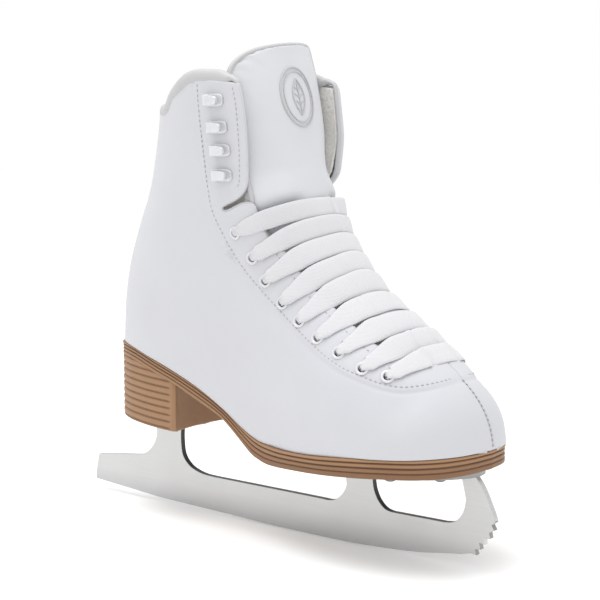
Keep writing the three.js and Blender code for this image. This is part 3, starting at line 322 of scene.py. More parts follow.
def enamel(name, c):
    m, nt, b = mat(name); tc = nd(nt, "ShaderNodeTexCoord"); n1 = nd(nt, "ShaderNodeTexNoise", i_Scale=180.0, i_Detail=3.0); nt.links.new(tc.outputs["Object"], n1.inputs["Vector"])
    nt.links.new(ramp(nt, n1.outputs[0], [(0.3, tuple(v * 0.93 for v in c)), (0.7, c)]), b.inputs["Base Color"])
    r = nd(nt, "ShaderNodeMapRange", i_3=0.22, i_4=0.36); nt.links.new(n1.outputs[0], r.inputs[0]); nt.links.new(r.outputs[0], b.inputs["Roughness"])
    chain_bump(nt, b, [(n1.outputs[0], 0.05, 0.0002)]); b.inputs["Metallic"].default_value = 0.15; b.inputs["Coat Weight"].default_value = 0.5; b.inputs["Coat Roughness"].default_value = 0.12
    return m
M_UP = leather("white_upper", (0.565, 0.569, 0.594), (0.545, 0.549, 0.579), 0.46)
# the tongue's leather is the upper's white leather made lighter: painted light
M_TONGUE_LIT = leather("white_tongue_painted_light", (0.60, 0.61, 0.63), (0.58, 0.59, 0.612), 0.5, 0.8)
M_EDGE = leather("white_binding", (0.485, 0.485, 0.49), (0.45, 0.45, 0.457), 0.52, 1.2)
M_STITCH = fabric("stitch_thread", (0.46, 0.46, 0.48), (0.36, 0.36, 0.385), 2400.0, 0.3)
M_FLEECE = fabric("cream_fleece", (0.74, 0.72, 0.685), (0.58, 0.56, 0.525), 520.0, 0.9, 0.95, 0.5)
M_FOAM = fabric("board", (0.62, 0.58, 0.50), (0.50, 0.46, 0.38), 300.0, 0.3, 0.9, 0.0)
M_LACE = lace_mat("lace_braid")
# rubber colours: the second is the dark end of the painted light and shade, the last is painted shade for the grooves
M_SOLE = rubber("tan_sole", (0.36, 0.208, 0.112), (0.205, 0.105, 0.052), (0.13, 0.065, 0.035))
M_HEEL = rubber("tan_heel", (0.345, 0.20, 0.108), (0.30, 0.16, 0.083), (0.205, 0.108, 0.057))
# the blade darkens towards its bottom edge: painted shade
M_BLADE = steel("blade_steel", (0.56, 0.56, 0.556), (0.59, 0.59, 0.586), 0.42, edge=(0.47, 0.47, 0.475))
# near-black steel for the blade's cut edges and window floors: painted shade
M_BLADE_EDGE_SHADE = steel("blade_edge_painted_shade", (0.045, 0.045, 0.047), (0.075, 0.075, 0.078), 0.45)
# dark steel for the plates, screws and the tops of the pick teeth: painted shade
M_PLATE_SHADE = steel("plate_steel", (0.27, 0.265, 0.26), (0.33, 0.325, 0.32), 0.38)
M_ENAMEL = enamel("white_enamel", (0.66, 0.665, 0.69))

# ------------------------------------------------------------------ the sheet of the boot, as rays from the crest to the sole or back seam
PAIR = np.array([(125.2,62.05,125.0,61.9),(124.95,65.0,120.5,61.5),(122.8,75.5,110,61),(119.3,83.5,102,60.4),(114,91,94,59.8),(107,98,85,59.2),(98.8,105,75,58.5),(89.6,112,64,57.6),(79.5,119.6,52,56.6),(68.5,127.5,38,55.4),(57.6,136,22,54.8),(47.6,145,4,55.2),(38.6,155,-20,64),(30.5,165.6,-50,80.4),(23.6,176,-84,93.3),(18,186,-122.7,98.6),(13.5,197,-121.6,113),(10.5,210,-117.6,138.5),(9.3,225,-108,167),(9,240,-98.1,194),(9.5,256,-91.7,222),(10,272,-89,244)], float)
ROWS, COLS = ((290, 104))
def ray_grid(nr, nc):
    u = np.arange(len(PAIR), dtype=float)
    dense = np.linspace(0, len(PAIR) - 1, 2000); B = np.stack([hermite(u, PAIR[:, k], dense) for k in range(4)], -1)
    s = np.r_[0, np.cumsum(0.45 * np.linalg.norm(np.diff(B[:, :2], axis=0), axis=1) + 0.55 * np.linalg.norm(np.diff(B[:, 2:], axis=0), axis=1))]
    q = np.interp(np.linspace(0, s[-1], nr), s, dense)
    cz = hermite(u, PAIR[:, 1], q); cx = hermite(u, PAIR[:, 0], q)
    # put the crest end exactly on the crest
    d, near = seg_near(np.stack([cx, cz], -1), np.stack([CX, CZ], -1)); cx, cz = near[:, 0], near[:, 1]
    bx = hermite(u, PAIR[:, 2], q); bz = hermite(u, PAIR[:, 3], q); back = smooth(14.2, 15.0, q)
    on_back = q >= 15.0
    bx = np.where(on_back, tab(XB, bz), bx); bz = np.where(on_back, bz, tab(FEATHER, bx) + 0.3)
    v = np.linspace(0, 1, nc)[None]; s0 = 1 - np.cos(np.pi * v / 2); s1 = (1 - np.cos(np.pi * v)) / 2
    s = (1 - back[:, None]) * s0 + back[:, None] * s1
    X = cx[:, None] + s * (bx - cx)[:, None]; Z = cz[:, None] + s * (bz - cz)[:, None]
    return X, Z, on_back
def clip_faces(XZ, faces, val, seam):
    """keeps the part of the faces where val > 0, cutting them along val = 0"""
    XZ = [tuple(p) for p in XZ]; seam = list(seam); cache = {}; out = []
    def cut(a, b):
        k = (a, b) if a < b else (b, a)
        if k not in cache:
            t = val[a] / (val[a] - val[b]); cache[k] = len(XZ); pa, pb = XZ[a], XZ[b]
            XZ.append((pa[0] + (pb[0] - pa[0]) * t, pa[1] + (pb[1] - pa[1]) * t)); seam.append(bool(seam[a] and seam[b]))
        return cache[k]
    for f in faces:
        vs = [val[i] for i in f]
        if max(vs) <= 1e-6: continue
        if min(vs) >= 0: out.append(tuple(f)); continue
        g = []
        for a, b in zip(f, tuple(f[1:]) + (f[0],)):
            if val[a] > 0: g.append(a)
            if (val[a] > 1e-6 and val[b] < 0) or (val[b] > 1e-6 and val[a] < 0): g.append(cut(a, b))
        if len(g) >= 3: out.append(tuple(g))
    return np.array(XZ), out, np.array(seam)
def tri_normals(V, faces):
    T = np.array([(f[0], f[k], f[k+1]) for f in faces for k in range(1, len(f) - 1)]); n = np.cross(V[T[:, 1]] - V[T[:, 0]], V[T[:, 2]] - V[T[:, 0]]); N = np.zeros_like(V)
    for k in range(3): np.add.at(N, T[:, k], n)
    return N / np.maximum(np.linalg.norm(N, axis=1, keepdims=True), 1e-12)
def trimmed(poly, line, holes=(), hole_r=2.6, cut=None):
    """part of the boot's sheet inside poly, its edge on line, with round holes"""
    X, Z, on_back = ray_grid(ROWS, COLS); nr, nc = X.shape
    XZ = np.stack([X.ravel(), Z.ravel()], -1); I = np.arange(nr * nc).reshape(nr, nc); F = np.stack([I[:-1, :-1], I[1:, :-1], I[1:, 1:], I[:-1, 1:]], -1).reshape(-1, 4)
    seam = np.zeros((nr, nc), bool); seam[:, 0] = True; seam[on_back, -1] = True; seam = seam.ravel()
    d, near = seg_near(XZ, line); ins = inside(XZ, poly); on = (d < 0.16) & ~seam; XZ[on] = near[on]; val = np.where(ins, d, -d); val[on] = 1e-9
    XZ, faces, seam = clip_faces(XZ, [tuple(f) for f in F.tolist()], val.tolist(), seam)
    for h in holes:
        y = half(XZ[:, 0], XZ[:, 1]); y[seam] = 0; P = np.stack([XZ[:, 0], y, XZ[:, 1]], -1); r = np.linalg.norm(P - h, axis=1); v_ = r - hole_r
        on = np.abs(v_) < 0.15; v_[on] = 1e-9; XZ, faces, seam = clip_faces(XZ, faces, v_.tolist(), seam)
    if cut is not None: faces = [f for f in faces if not cut(XZ[list(f)].mean(0)[None])[0]]
    used = np.unique(np.concatenate([np.array(f) for f in faces])); new = np.full(len(XZ), -1); new[used] = np.arange(len(used)); XZ = XZ[used]; seam = seam[used]; faces = [tuple(int(new[i]) for i in f) for f in faces]
    y = half(XZ[:, 0], XZ[:, 1]); y[seam] = 0; V = np.stack([XZ[:, 0], y, XZ[:, 1]], -1); N = tri_normals(V, faces)
    if N[:, 1].mean() < 0: faces = [f[::-1] for f in faces]; N = -N
    N[seam, 1] = 0; N /= np.maximum(np.linalg.norm(N, axis=1, keepdims=True), 1e-9)
    cnt = {}
    for f in faces:
        for a, b in zip(f, f[1:] + (f[0],)):
            k = (a, b) if a < b else (b, a); cnt[k] = cnt.get(k, 0) + 1
    BE = np.array([(a, b) for f in faces for a, b in zip(f, f[1:] + (f[0],)) if cnt[(a, b) if a < b else (b, a)] == 1])
    return V, faces, N, BE, seam
def thick_sheet(V, F, N, BE, seam, t0, t1, push=0.45):
    """closed sheet between depths t0 and t1 below V along N"""
    n = len(V); t0 = np.reshape(t0, (-1, 1)) if np.ndim(t0) else t0; t1 = np.reshape(t1, (-1, 1)) if np.ndim(t1) else t1
    A = V - N * t0; B = V - N * t1
    out = np.zeros_like(V); e = V[BE[:, 1]] - V[BE[:, 0]]; o = np.cross(e, N[BE[:, 0]]); np.add.at(out, BE[:, 0], o); np.add.at(out, BE[:, 1], o)
    out /= np.maximum(np.linalg.norm(out, axis=1, keepdims=True), 1e-9); out[seam] = 0
    bv = np.unique(BE); m = np.full(n, -1); m[bv] = np.arange(len(bv)) + 2*n
    Mid = (A[bv] + B[bv]) / 2 + out[bv] * push
    faces = [tuple(f) for f in F] + [tuple(i + n for i in f[::-1]) for f in F]
    for a, b in BE: faces.append((b, a, m[a], m[b])); faces.append((m[b], m[a], a + n, b + n))
    return np.vstack([A, B, Mid]), faces
def mirror(V, F): W = V.copy(); W[:, 1] *= -1; return W, [tuple(f)[::-1] for f in F]

FOLD_N = np.array([0.588, 0.809])
def bend(ob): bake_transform(ob); return ob

COLLAR_LINE = catmull(COLLAR, 10)
FRONT_LINE = catmull(np.vstack([COLLAR[-3:], CUFF_FRONT]), 8)[16:]
STAY_LINE = catmull(np.vstack([CUFF_FRONT[-2:], STAY_EDGE]), 10)[20:]
def trim_line(dcollar, inset=0.0):
    c = COLLAR_LINE + [0, dcollar]; f = FRONT_LINE.copy(); s = STAY_LINE.copy()
    f = f[1:-1]; f = f[f[:, 1] < c[-1, 1] - 0.6]; L = np.vstack([c, f, s])
    if inset:
        T = np.gradient(L, axis=0); T /= np.maximum(np.linalg.norm(T, axis=1, keepdims=True), 1e-9); L = L + np.stack([T[:, 1], -T[:, 0]], -1) * inset
    return L
def closed(line): return np.vstack([line, [(97, 130), (160, 130), (160, 0), (-150, 0), (-150, line[0, 1])]])
EYE = [surf(x, z, 1) for x, z in EYELETS]; EYE_P = [p[0] for p, n in EYE]; EYE_N = [n[0] for p, n in EYE]
OUTER_LINE = catmull(STAY_OUTER, 8)
STAY_POLY = np.vstack([OUTER_LINE, [(130, 110), (60, 160), (20, 215), (10, 260)]])

def skin():
    line = trim_line(-6.0); V, F, N, BE, seam = trimmed(closed(line), line, EYE_P, 2.6)
    d, _ = seg_near(V[:, [0, 2]], OUTER_LINE); ins = inside(V[:, [0, 2]], STAY_POLY); sd = np.where(ins, d, -d)
    disp = 0.55 * smooth(-0.5, 0.9, sd) - 0.22 * np.exp(-((sd + 0.9) / 0.8) ** 2) - 0.18 * np.exp(-((sd - 2.1) / 0.8) ** 2)
    disp -= 0.30 * np.exp(-(V[:, 1] / 1.1) ** 2) * (np.abs(V[:, 1]) < 6)
    # soft unevenness of lasted leather
    x, y, z = V.T; disp += 0.16 * np.sin(x / 17 + 1.3 * np.sin(z / 23)) * np.sin(z / 19 + y / 14)
    return V, F, N, BE, seam, disp
V, F, N, BE, seam, disp = skin()
VO = V + N * disp[:, None]; VO[seam, 1] = 0
N2 = tri_normals(VO, F); N2[seam, 1] = 0; N2 /= np.linalg.norm(N2, axis=1, keepdims=True)
SV, SF = thick_sheet(VO, F, N2, BE, seam, 0.0, 2.1)
for side in (-1, 1):
    nm = "right" if side < 0 else "left"
    v, f = (SV, SF) if side > 0 else mirror(SV, SF)
    ob = emit(f"upper_leather_{nm}", v, f, M_UP, slot="white_leather"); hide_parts(f"upper_{nm}", f"cuff_flap_{nm}"); bend(ob)
# lining
line = trim_line(-5.0, inset=2.2); V, F, N, BE, seam = trimmed(closed(line), line, EYE_P, 2.8, cut=lambda C: (C[:, 0] > 106) & (C[:, 1] < 78))
dl = 2.35 + 1.85 * (1 - smooth(150, 172, V[:, 0] * FOLD_N[0] + V[:, 2] * FOLD_N[1])) * 1.0
pile = 0.14 * np.sin(V[:, 0] * 2.1 + 3 * np.sin(V[:, 2] * 0.7)) * np.sin(V[:, 2] * 1.9 + 2 * np.sin(V[:, 0] * 0.5))
LV, LF = thick_sheet(V, F, N, BE, seam, dl, dl + 1.45 + pile, push=0.3)
for side in (-1, 1):
    nm = "right" if side < 0 else "left"
    v, f = (LV, LF) if side > 0 else mirror(LV, LF)
    ob = emit(f"lining_fleece_{nm}", v, f, M_FLEECE, slot="lining_fleece"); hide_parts(f"lining_{nm}", f"cuff_lining_{nm}"); bend(ob)

# ------------------------------------------------------------------ padded collar roll and turned edges
for side in (-1, 1):
    nm = "right" if side < 0 else "left"
    z0 = 238.5
    col = COLLAR_LINE[COLLAR_LINE[:, 0] > -84.0]
    start = np.array([[tab(XB, z0 - 4) + 0.02, z0 - 4.0], [tab(XB, z0 - 4) + 0.6, z0 - 4.05]])
    a2 = np.vstack([start, col + [0, -4.4]])
    fr = FRONT_LINE[2:]; st = STAY_LINE[:-6]
    path = np.vstack([a2[:-1], [[-11.5, 249.6], [-8.6, 248.6]], fr[6:] + [[-0.9, 0]], st])
    path = resample(path, 1.3); path[1:-1] = (path[:-2] + 2 * path[1:-1] + path[2:]) / 4
    P, N = surf(path[:, 0], path[:, 1], side); L = np.r_[0, np.cumsum(np.linalg.norm(np.diff(P, axis=0), axis=1))]
    k = np.argmin(np.abs(path[:, 0] + 11.5) + np.abs(path[:, 1] - 249.6)); Lc = L[k]
    w = smooth(Lc - 9, Lc + 5, L)                       # 0 on the collar, 1 on the front edge
    puff = 1 + 0.05 * np.sin(L / 3.1) * (1 - w)
    b = (3.5 * (1 - w) + 1.75 * w) * puff; b = b * (1 - 0.28 * (1 - smooth(-88, -68, path[:, 0]))); a = 4.3 * (1 - w) + 1.05 * w; dep = 2.7 * (1 - w) + 1.35 * w
    lower = smooth(L[np.argmin(np.abs(path[:, 1] - 182) + (path[:, 0] > -10) * 50)], L[-1], L) * 0
    Vv, Ff, U = sweep(P - N * dep[:, None], N, a, b, m=16, power=2.3)
    ob = emit(f"collar_binding_{nm}", Vv, Ff, M_EDGE, slot="white_leather"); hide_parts(f"collar_pad_{nm}"); bend(ob)

# ------------------------------------------------------------------ stitching
def stitch_row(bag, P, N, pitch=2.7, ln=1.9, r=0.27, lift=0.12, across=False):
    s = np.r_[0, np.cumsum(np.linalg.norm(np.diff(P, axis=0), axis=1))]; q = np.arange(pitch / 2, s[-1], pitch)
    C = np.stack([np.interp(q, s, P[:, k]) for k in range(3)], -1); M = np.stack([np.interp(q, s, N[:, k]) for k in range(3)], -1); M /= np.linalg.norm(M, axis=1, keepdims=True)
    T = np.stack([np.interp(q + 0.4, s, P[:, k]) - np.interp(q - 0.4, s, P[:, k]) for k in range(3)], -1); T /= np.maximum(np.linalg.norm(T, axis=1, keepdims=True), 1e-9)
    W = np.cross(T, M)
    if across: T, W = W, T
    t = np.array([-1, -0.7, 0, 0.7, 1]); rr = np.array([0.35, 0.9, 1, 0.9, 0.35]); sink = np.array([-0.35, -0.05, 0.05, -0.05, -0.35]); th = np.arange(6) * np.pi / 3
    for c, m, tt, ww in zip(C, M, T, W):
        R = c + tt * (t * ln / 2)[:, None, None] + m * (sink + lift)[:, None, None] + (ww * np.cos(th)[:, None] + m * np.sin(th)[:, None])[None] * (rr * r)[:, None, None]
        v, f = tube_rings(R); bag.add(v, f)
def offset_line(L, d):
    T = np.gradient(L, axis=0); T /= np.maximum(np.linalg.norm(T, axis=1, keepdims=True), 1e-9); return L + np.stack([T[:, 1], -T[:, 0]], -1) * d
for side in (-1, 1):
    nm = "right" if side < 0 else "left"; bag = Bag()
    def row(L2, d=0.0, **k):
        L2 = resample(L2, 0.8); P, N = surf(L2[:, 0], L2[:, 1], side, -d); stitch_row(bag, P, N, **k)
    l1 = OUTER_LINE[OUTER_LINE[:, 1] < 247.5]; row(offset_line(l1, -1.9)[:-3], 0.40)
    fr = FRONT_LINE[(FRONT_LINE[:, 1] > 190) & (FRONT_LINE[:, 1] < 247)]; row(offset_line(fr, 4.2), 0.50)
    row(STAY_LINE[4:-16] + [-2.6, -2.2], 0.50)
    ob = bag.emit(f"stitching_{nm}", M_STITCH, slot="white_leather"); bend(ob)
bag = Bag()                                            # seams over the toe and up the back
zt = np.linspace(63, 103.5, 60); xt = crest_x(zt); tx = np.gradient(xt, zt); nrm = np.stack([np.ones_like(xt), 0*xt, -tx], -1); nrm /= np.linalg.norm(nrm, axis=1, keepdims=True)
zb = np.linspace(100, 228, 90); xb = tab(XB, zb); nb = np.stack([-np.ones_like(xb), 0*xb, np.gradient(xb, zb)], -1); nb /= np.linalg.norm(nb, axis=1, keepdims=True)
for s in (-1.5, 1.5):
    stitch_row(bag, np.stack([xb, 0*xb + s, zb], -1) + nb * 0.02, nb, pitch=2.6, ln=1.7)
stitch_row(bag, np.stack([xt, 0*xt, zt], -1) + nrm * 0.02, nrm, pitch=2.6, ln=1.7)
ob = bag.emit("stitching_seams", M_STITCH, slot="white_leather", body="boot")

# ------------------------------------------------------------------ cloth pass, used on the padded tongue
def inflate(ob, pins, pressure=4.0, frames=16, cap=1.2, mass=0.02, hold=None):
    """blows the piece up like a pad held at its pinned points, at most cap mm a point"""
    me = ob.data; n = len(me.vertices); c0 = np.empty(n * 3, np.float32); me.vertices.foreach_get("co", c0)
    vg = ob.vertex_groups.new(name="pin"); vg.add([int(i) for i in pins], 1.0, "REPLACE")
    md = ob.modifiers.new("cloth", "CLOTH"); st = md.settings; st.quality = 5; st.mass = mass; st.use_pressure = True; st.uniform_pressure_force = pressure
    st.effector_weights.gravity = 0.0; st.vertex_group_mass = "pin"; st.tension_stiffness = 25; st.compression_stiffness = 25; st.bending_stiffness = 0.8; st.air_damping = 3.0
    md.collision_settings.use_collision = False; md.point_cache.frame_start = 1; md.point_cache.frame_end = frames; sc = bpy.context.scene
    for f in range(1, frames + 1): sc.frame_set(f)
    ev = ob.evaluated_get(bpy.context.evaluated_depsgraph_get()); c1 = np.empty(n * 3, np.float32); ev.data.vertices.foreach_get("co", c1)
    ob.modifiers.remove(md); ob.vertex_groups.remove(vg); sc.frame_set(1)
    d = (c1 - c0).reshape(-1, 3); L = np.linalg.norm(d, axis=1, keepdims=True); print("cloth", ob.name, "moved mm at 50/75/90/97/100 %", (np.percentile(L, [50, 75, 90, 97, 100]) * 1000).round(3))
    d = d * np.minimum(1, cap / 1000 / np.maximum(L, 1e-9)); me.vertices.foreach_set("co", (c0 + d.ravel()).astype(np.float32)); me.update()
# ------------------------------------------------------------------ tongue
TW = [(104,6),(108,9),(112,13),(119,17.5),(127,20.8),(136,23),(146,24),(157,25),(168,25.8),(177,27.4),(184,30.2),(192,32.6),(204,33.6),(216,34.3),(230,35),(244,35.6),(252,35.4),(256,34.8),(259,33.4),(261.5,31.0),(263.6,27.4),(265.2,22.6),(266.3,16.5),(266.9,10),(267.2,4.5)]
TW = np.array(TW, float)
LEAN = np.array([(186,0),(193,0.15),(200,0.4),(207,0.9),(222,2.8),(235,4.8),(250,9.2),(262,13.3),(270,15.6)], float)
def half_d(x, z, d):
    D, R, N = crest_depth(x, z); rb = tab(RB, z)
    return (width(x, z) - d) * rnd((x - tab(XB, z) - d) / (rb - d), tab(NB, z)) * rnd((D - d) / (R - d), N)
nz, ny = ((110, 44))
s = np.r_[0, np.cumsum(np.hypot(np.diff(TW[:, 0]), np.diff(TW[:, 1]) * 0.8))]; q = np.linspace(0, s[-1], nz); zs = np.interp(q, s, TW[:, 0]); ws = np.interp(q, s, TW[:, 1])
for _ in range(2): ws[1:-1] = (ws[:-2] + 2 * ws[1:-1] + ws[2:]) / 4
al = np.linspace(-1, 1, ny)
ZZ = np.repeat(zs, ny); AL = np.tile(al, nz); YY = np.repeat(ws, ny) * np.sin(AL * np.pi / 2) * (1 + 0.22 * smooth(256, 266, np.repeat(zs, ny)) * (np.tile(al, nz) > 0) - 0.06 * smooth(252, 264, np.repeat(zs, ny)) * (np.tile(al, nz) < 0)); under = 1 - smooth(180, 192, ZZ)
T0 = 7.0 * np.repeat(smooth(0, 6, s[-1] - q) * 0.75 + 0.25, ny)
th = T0 * (1 - np.abs(AL) ** 6) ** 0.5 * 0.86 + T0 * 0.14
front_d = 0.35 + under * 1.0 + under * 4.3 * smooth(9, 17, np.abs(YY)) + (T0 - th) * 0.28 + 0.9 * np.exp(-((ZZ - 188) / 7.0) ** 2) * (1 - (np.abs(YY) / 34) ** 2)
front_d += 0.10 * np.sin(ZZ / 6.0 + YY / 9) * np.sin(YY / 7.0) + (1 - np.repeat(smooth(0, 5, s[-1] - q), ny)) * 1.6
def rows_of(d):
    XZ = np.empty((len(ZZ), 2))
    tx = crest_x(ZZ + 1.5) - crest_x(ZZ - 1.5); tz = 3.0; L = np.hypot(tx, tz); mx, mz = tz / L, -tx / L; cx = crest_x(ZZ)
    lo = d.copy(); hi = np.full_like(lo, 60.0)
    for _ in range(24):
        sm = (lo + hi) / 2; c = half_d(cx - mx*sm, ZZ - mz*sm, d) < np.abs(YY); lo = np.where(c, sm, lo); hi = np.where(c, hi, sm)
    free = smooth(187, 204, ZZ); sm = np.minimum((lo + hi) / 2, 21 + d) * (1 - free) + (tab(LEAN, ZZ) + (12.5 + 5.5 * (1 - smooth(196, 226, ZZ))) * (YY / 34) ** 2 + d) * free
    return np.stack([cx - mx*sm, YY, ZZ - mz*sm + 0.085 * YY * smooth(228, 262, ZZ)], -1)
Fr = rows_of(front_d); Bk = rows_of(front_d + th)
I = np.arange(nz * ny).reshape(nz, ny); q4 = np.stack([I[:-1, :-1], I[:-1, 1:], I[1:, 1:], I[1:, :-1]], -1).reshape(-1, 4); nF = nz * ny
faces = [tuple(f) for f in q4] + [tuple(f[::-1] + nF) for f in q4]; am = np.abs(AL)[q4].mean(1); zm_ = np.repeat(s[-1] - q, ny)[q4].mean(1); mi = [0] * len(q4) + [0 if (a_ > 0.86 or z_ < 5) else 1 for a_, z_ in zip(am, zm_)]
rim = list(I[0, :]) + list(I[1:, -1]) + list(I[-1, -2::-1]) + list(I[-2:0:-1, 0])
for a, b in zip(rim, rim[1:] + rim[:1]): faces.append((b, a, a + nF, b + nF)); mi.append(0)
ob = emit("tongue_padded", np.vstack([Fr, Bk]), faces, [M_TONGUE_LIT, M_FLEECE], slot="white_leather", swung=False, midx=mi)
gz = np.repeat(np.arange(nz), ny); pins = [i for i in range(nF) if ZZ[i] < 182 or abs(AL[i]) > 0.97 or gz[i] >= nz - 1]
inflate(ob, pins + [i + nF for i in pins], pressure=70.0, cap=1.1); c_ = np.empty(len(ob.data.vertices) * 3, np.float32); ob.data.vertices.foreach_get("co", c_); c_ = c_.reshape(-1, 3).astype(float) * 1000 - [SX, 0, 0]; Fr, Bk = c_[:nF], c_[nF:]
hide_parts("tongue_lower", "tongue_upper", "tongue_pad_lower", "tongue_pad_upper")
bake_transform(ob)
# binding round the tongue's edge
edge = (Fr + Bk) / 2; E3 = edge.reshape(nz, ny, 3); lim = zs > 150
pe = np.vstack([E3[lim, 0], E3[-1, 1:-1], E3[lim, -1][::-1]]); ctr = np.array([-14.0, 0, 0])
pe = resample(pe, 1.2)
for _ in range(4): pe[1:-1] = (pe[:-2] + 2 * pe[1:-1] + pe[2:]) / 4
ne = np.tile([0.9, 0, 0.2], (len(pe), 1)).astype(float)
v, f, U = sweep(pe, ne, 1.5, 1.7, m=12, power=2.0)
ob = emit("tongue_binding", v, f, M_EDGE, slot="white_leather", swung=False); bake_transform(ob)
def on_tongue(y, z, lift=0.2):
    """face of the tongue's free top"""
    k = np.array([np.argmin((Fr[:, 1] - a) ** 2 + (Fr[:, 2] - b) ** 2) for a, b in zip(y, z)])
    g = Fr.reshape(nz, ny, 3); N = np.cross(np.gradient(g, axis=1), np.gradient(g, axis=0)).reshape(-1, 3); N /= np.linalg.norm(N, axis=1, keepdims=True)
    if N[:, 0].mean() < 0: N = -N
    # local fit so that the line is smooth
    X = np.array([np.average(Fr[j, 0] - (N[j, 1] / N[j, 0]) * (a - Fr[j, 1]) - (N[j, 2] / N[j, 0]) * (b - Fr[j, 2])) for j, a, b in zip(k, y, z)])
    P = np.stack([X, y, z], -1); return P + N[k] * lift, N[k]
bag = Bag()                                            # generic embossed mark: an oval round a plain leaf
t = np.linspace(0, 2*np.pi, 90)
for ry, rz, w in ((12.8, 15.8, 0.62), (10.8, 13.6, 0.3)):
    P, N = on_tongue(ry * np.cos(t) - 0.5, 240 + rz * np.sin(t)); v, f, U = sweep(P, N, w, 0.42, m=8); bag.add(v, f)
for sgn in (-1, 1):
    u = np.linspace(-1, 1, 30); P, N = on_tongue(-0.5 + sgn * 4.6 * (1 - u**2), 240 + 9.6 * u); v, f, U = sweep(P, N, 0.5, 0.4, m=8); bag.add(v, f)
u = np.linspace(-0.8, 0.75, 20); P, N = on_tongue(-0.5 + 0*u, 240 + 9.6 * u); v, f, U = sweep(P, N, 0.35, 0.35, m=8); bag.add(v, f)
for c in (-0.45, -0.05, 0.35):
    for sgn in (-1, 1):
        u = np.linspace(0, 1, 8); P, N = on_tongue(-0.5 + sgn * 3.1 * u * (1 - c*c*0.5), 240 + 9.6 * (c + 0.22 * u)); v, f, U = sweep(P, N, 0.28, 0.3, m=8); bag.add(v, f)
ob = bag.emit("tongue_emboss", M_EDGE, slot="white_leather", swung=False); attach(ob, "tongue_top")

# ------------------------------------------------------------------ eyelets and hooks
for side in (-1, 1):
    nm = "right" if side < 0 else "left"; bag = Bag()
    prof = [(2.1, -3.8), (2.3, -3.8), (2.3, 0.5), (3.35, 0.55), (3.7, 0.75), (3.62, 1.05), (3.2, 1.3), (2.7, 1.38), (2.3, 1.2), (2.1, 0.8)]
    for p, n in zip(EYE_P, EYE_N):
        v, f = lathe(prof, 28, p * [1, side, 1], n * [1, side, 1]); bag.add(v, f)
    ob = bag.emit(f"eyelets_{nm}", M_ENAMEL, slot="white_metal", body="boot"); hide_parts(*[f"eyelet_{nm}_{i}" for i in range(1, 10)])
    for i, (hx, hz) in enumerate(HOOKS):
        bag = Bag(); P0, N0 = surf(hx, hz, side); P0, N0 = P0[0], N0[0]; up = np.array([0, 0, 1.0]); fw = np.cross(N0, up) * -side; fw /= np.linalg.norm(fw)
        if fw[0] < 0: fw = -fw
        def pt(a, c): return P0 + fw * a + N0 * c
        # formed strip: base on the leather, round bend at the back, tongue over it
        th = np.linspace(-np.pi/2, np.pi/2, 9); bendp = [(-3.6 - 1.9 * math.cos(a), 2.9 + 1.9 * math.sin(a)) for a in th]
        prof2 = [(6.6, 1.0), (3.5, 1.0), (0, 1.0), (-2.4, 1.0)] + bendp + [(-1.5, 4.75), (1.2, 4.5), (3.6, 4.6), (5.2, 5.2)]
        Pp = catmull(np.array(prof2), 3); Pp = resample(Pp, 0.45); P3 = np.array([pt(a, c) for a, c in Pp]); Tn = np.gradient(Pp, axis=0); Nn = np.array([fw * -t_[1] + N0 * t_[0] for t_ in Tn])
        L = np.r_[0, np.cumsum(np.linalg.norm(np.diff(Pp, axis=0), axis=1))]; u = L / L[-1]
        wd = np.interp(u, [0, 0.05, 0.12, 0.35, 0.55, 0.8, 0.93, 1], [1.9, 2.9, 3.4, 3.4, 3.0, 2.6, 2.3, 1.3])
        v, f, U = sweep(P3, Nn, wd, 0.42, m=14, power=4.0); bag.add(v, f)
        v, f = lathe([(0.02, -2.9), (1.3, -2.9), (1.3, 1.2), (2.0, 1.35), (1.75, 1.9), (1.0, 2.2), (0.02, 2.3)], 18, pt(1.2, 0), N0); bag.add(v, f)
        ob = bag.emit(f"lace_hook_{nm}_{i+1}", M_ENAMEL, slot="white_metal"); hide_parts(f"hook_{nm}_{i+1}"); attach(ob, ("cuff_right" if side < 0 else "cuff_left") if i < 3 else "boot")

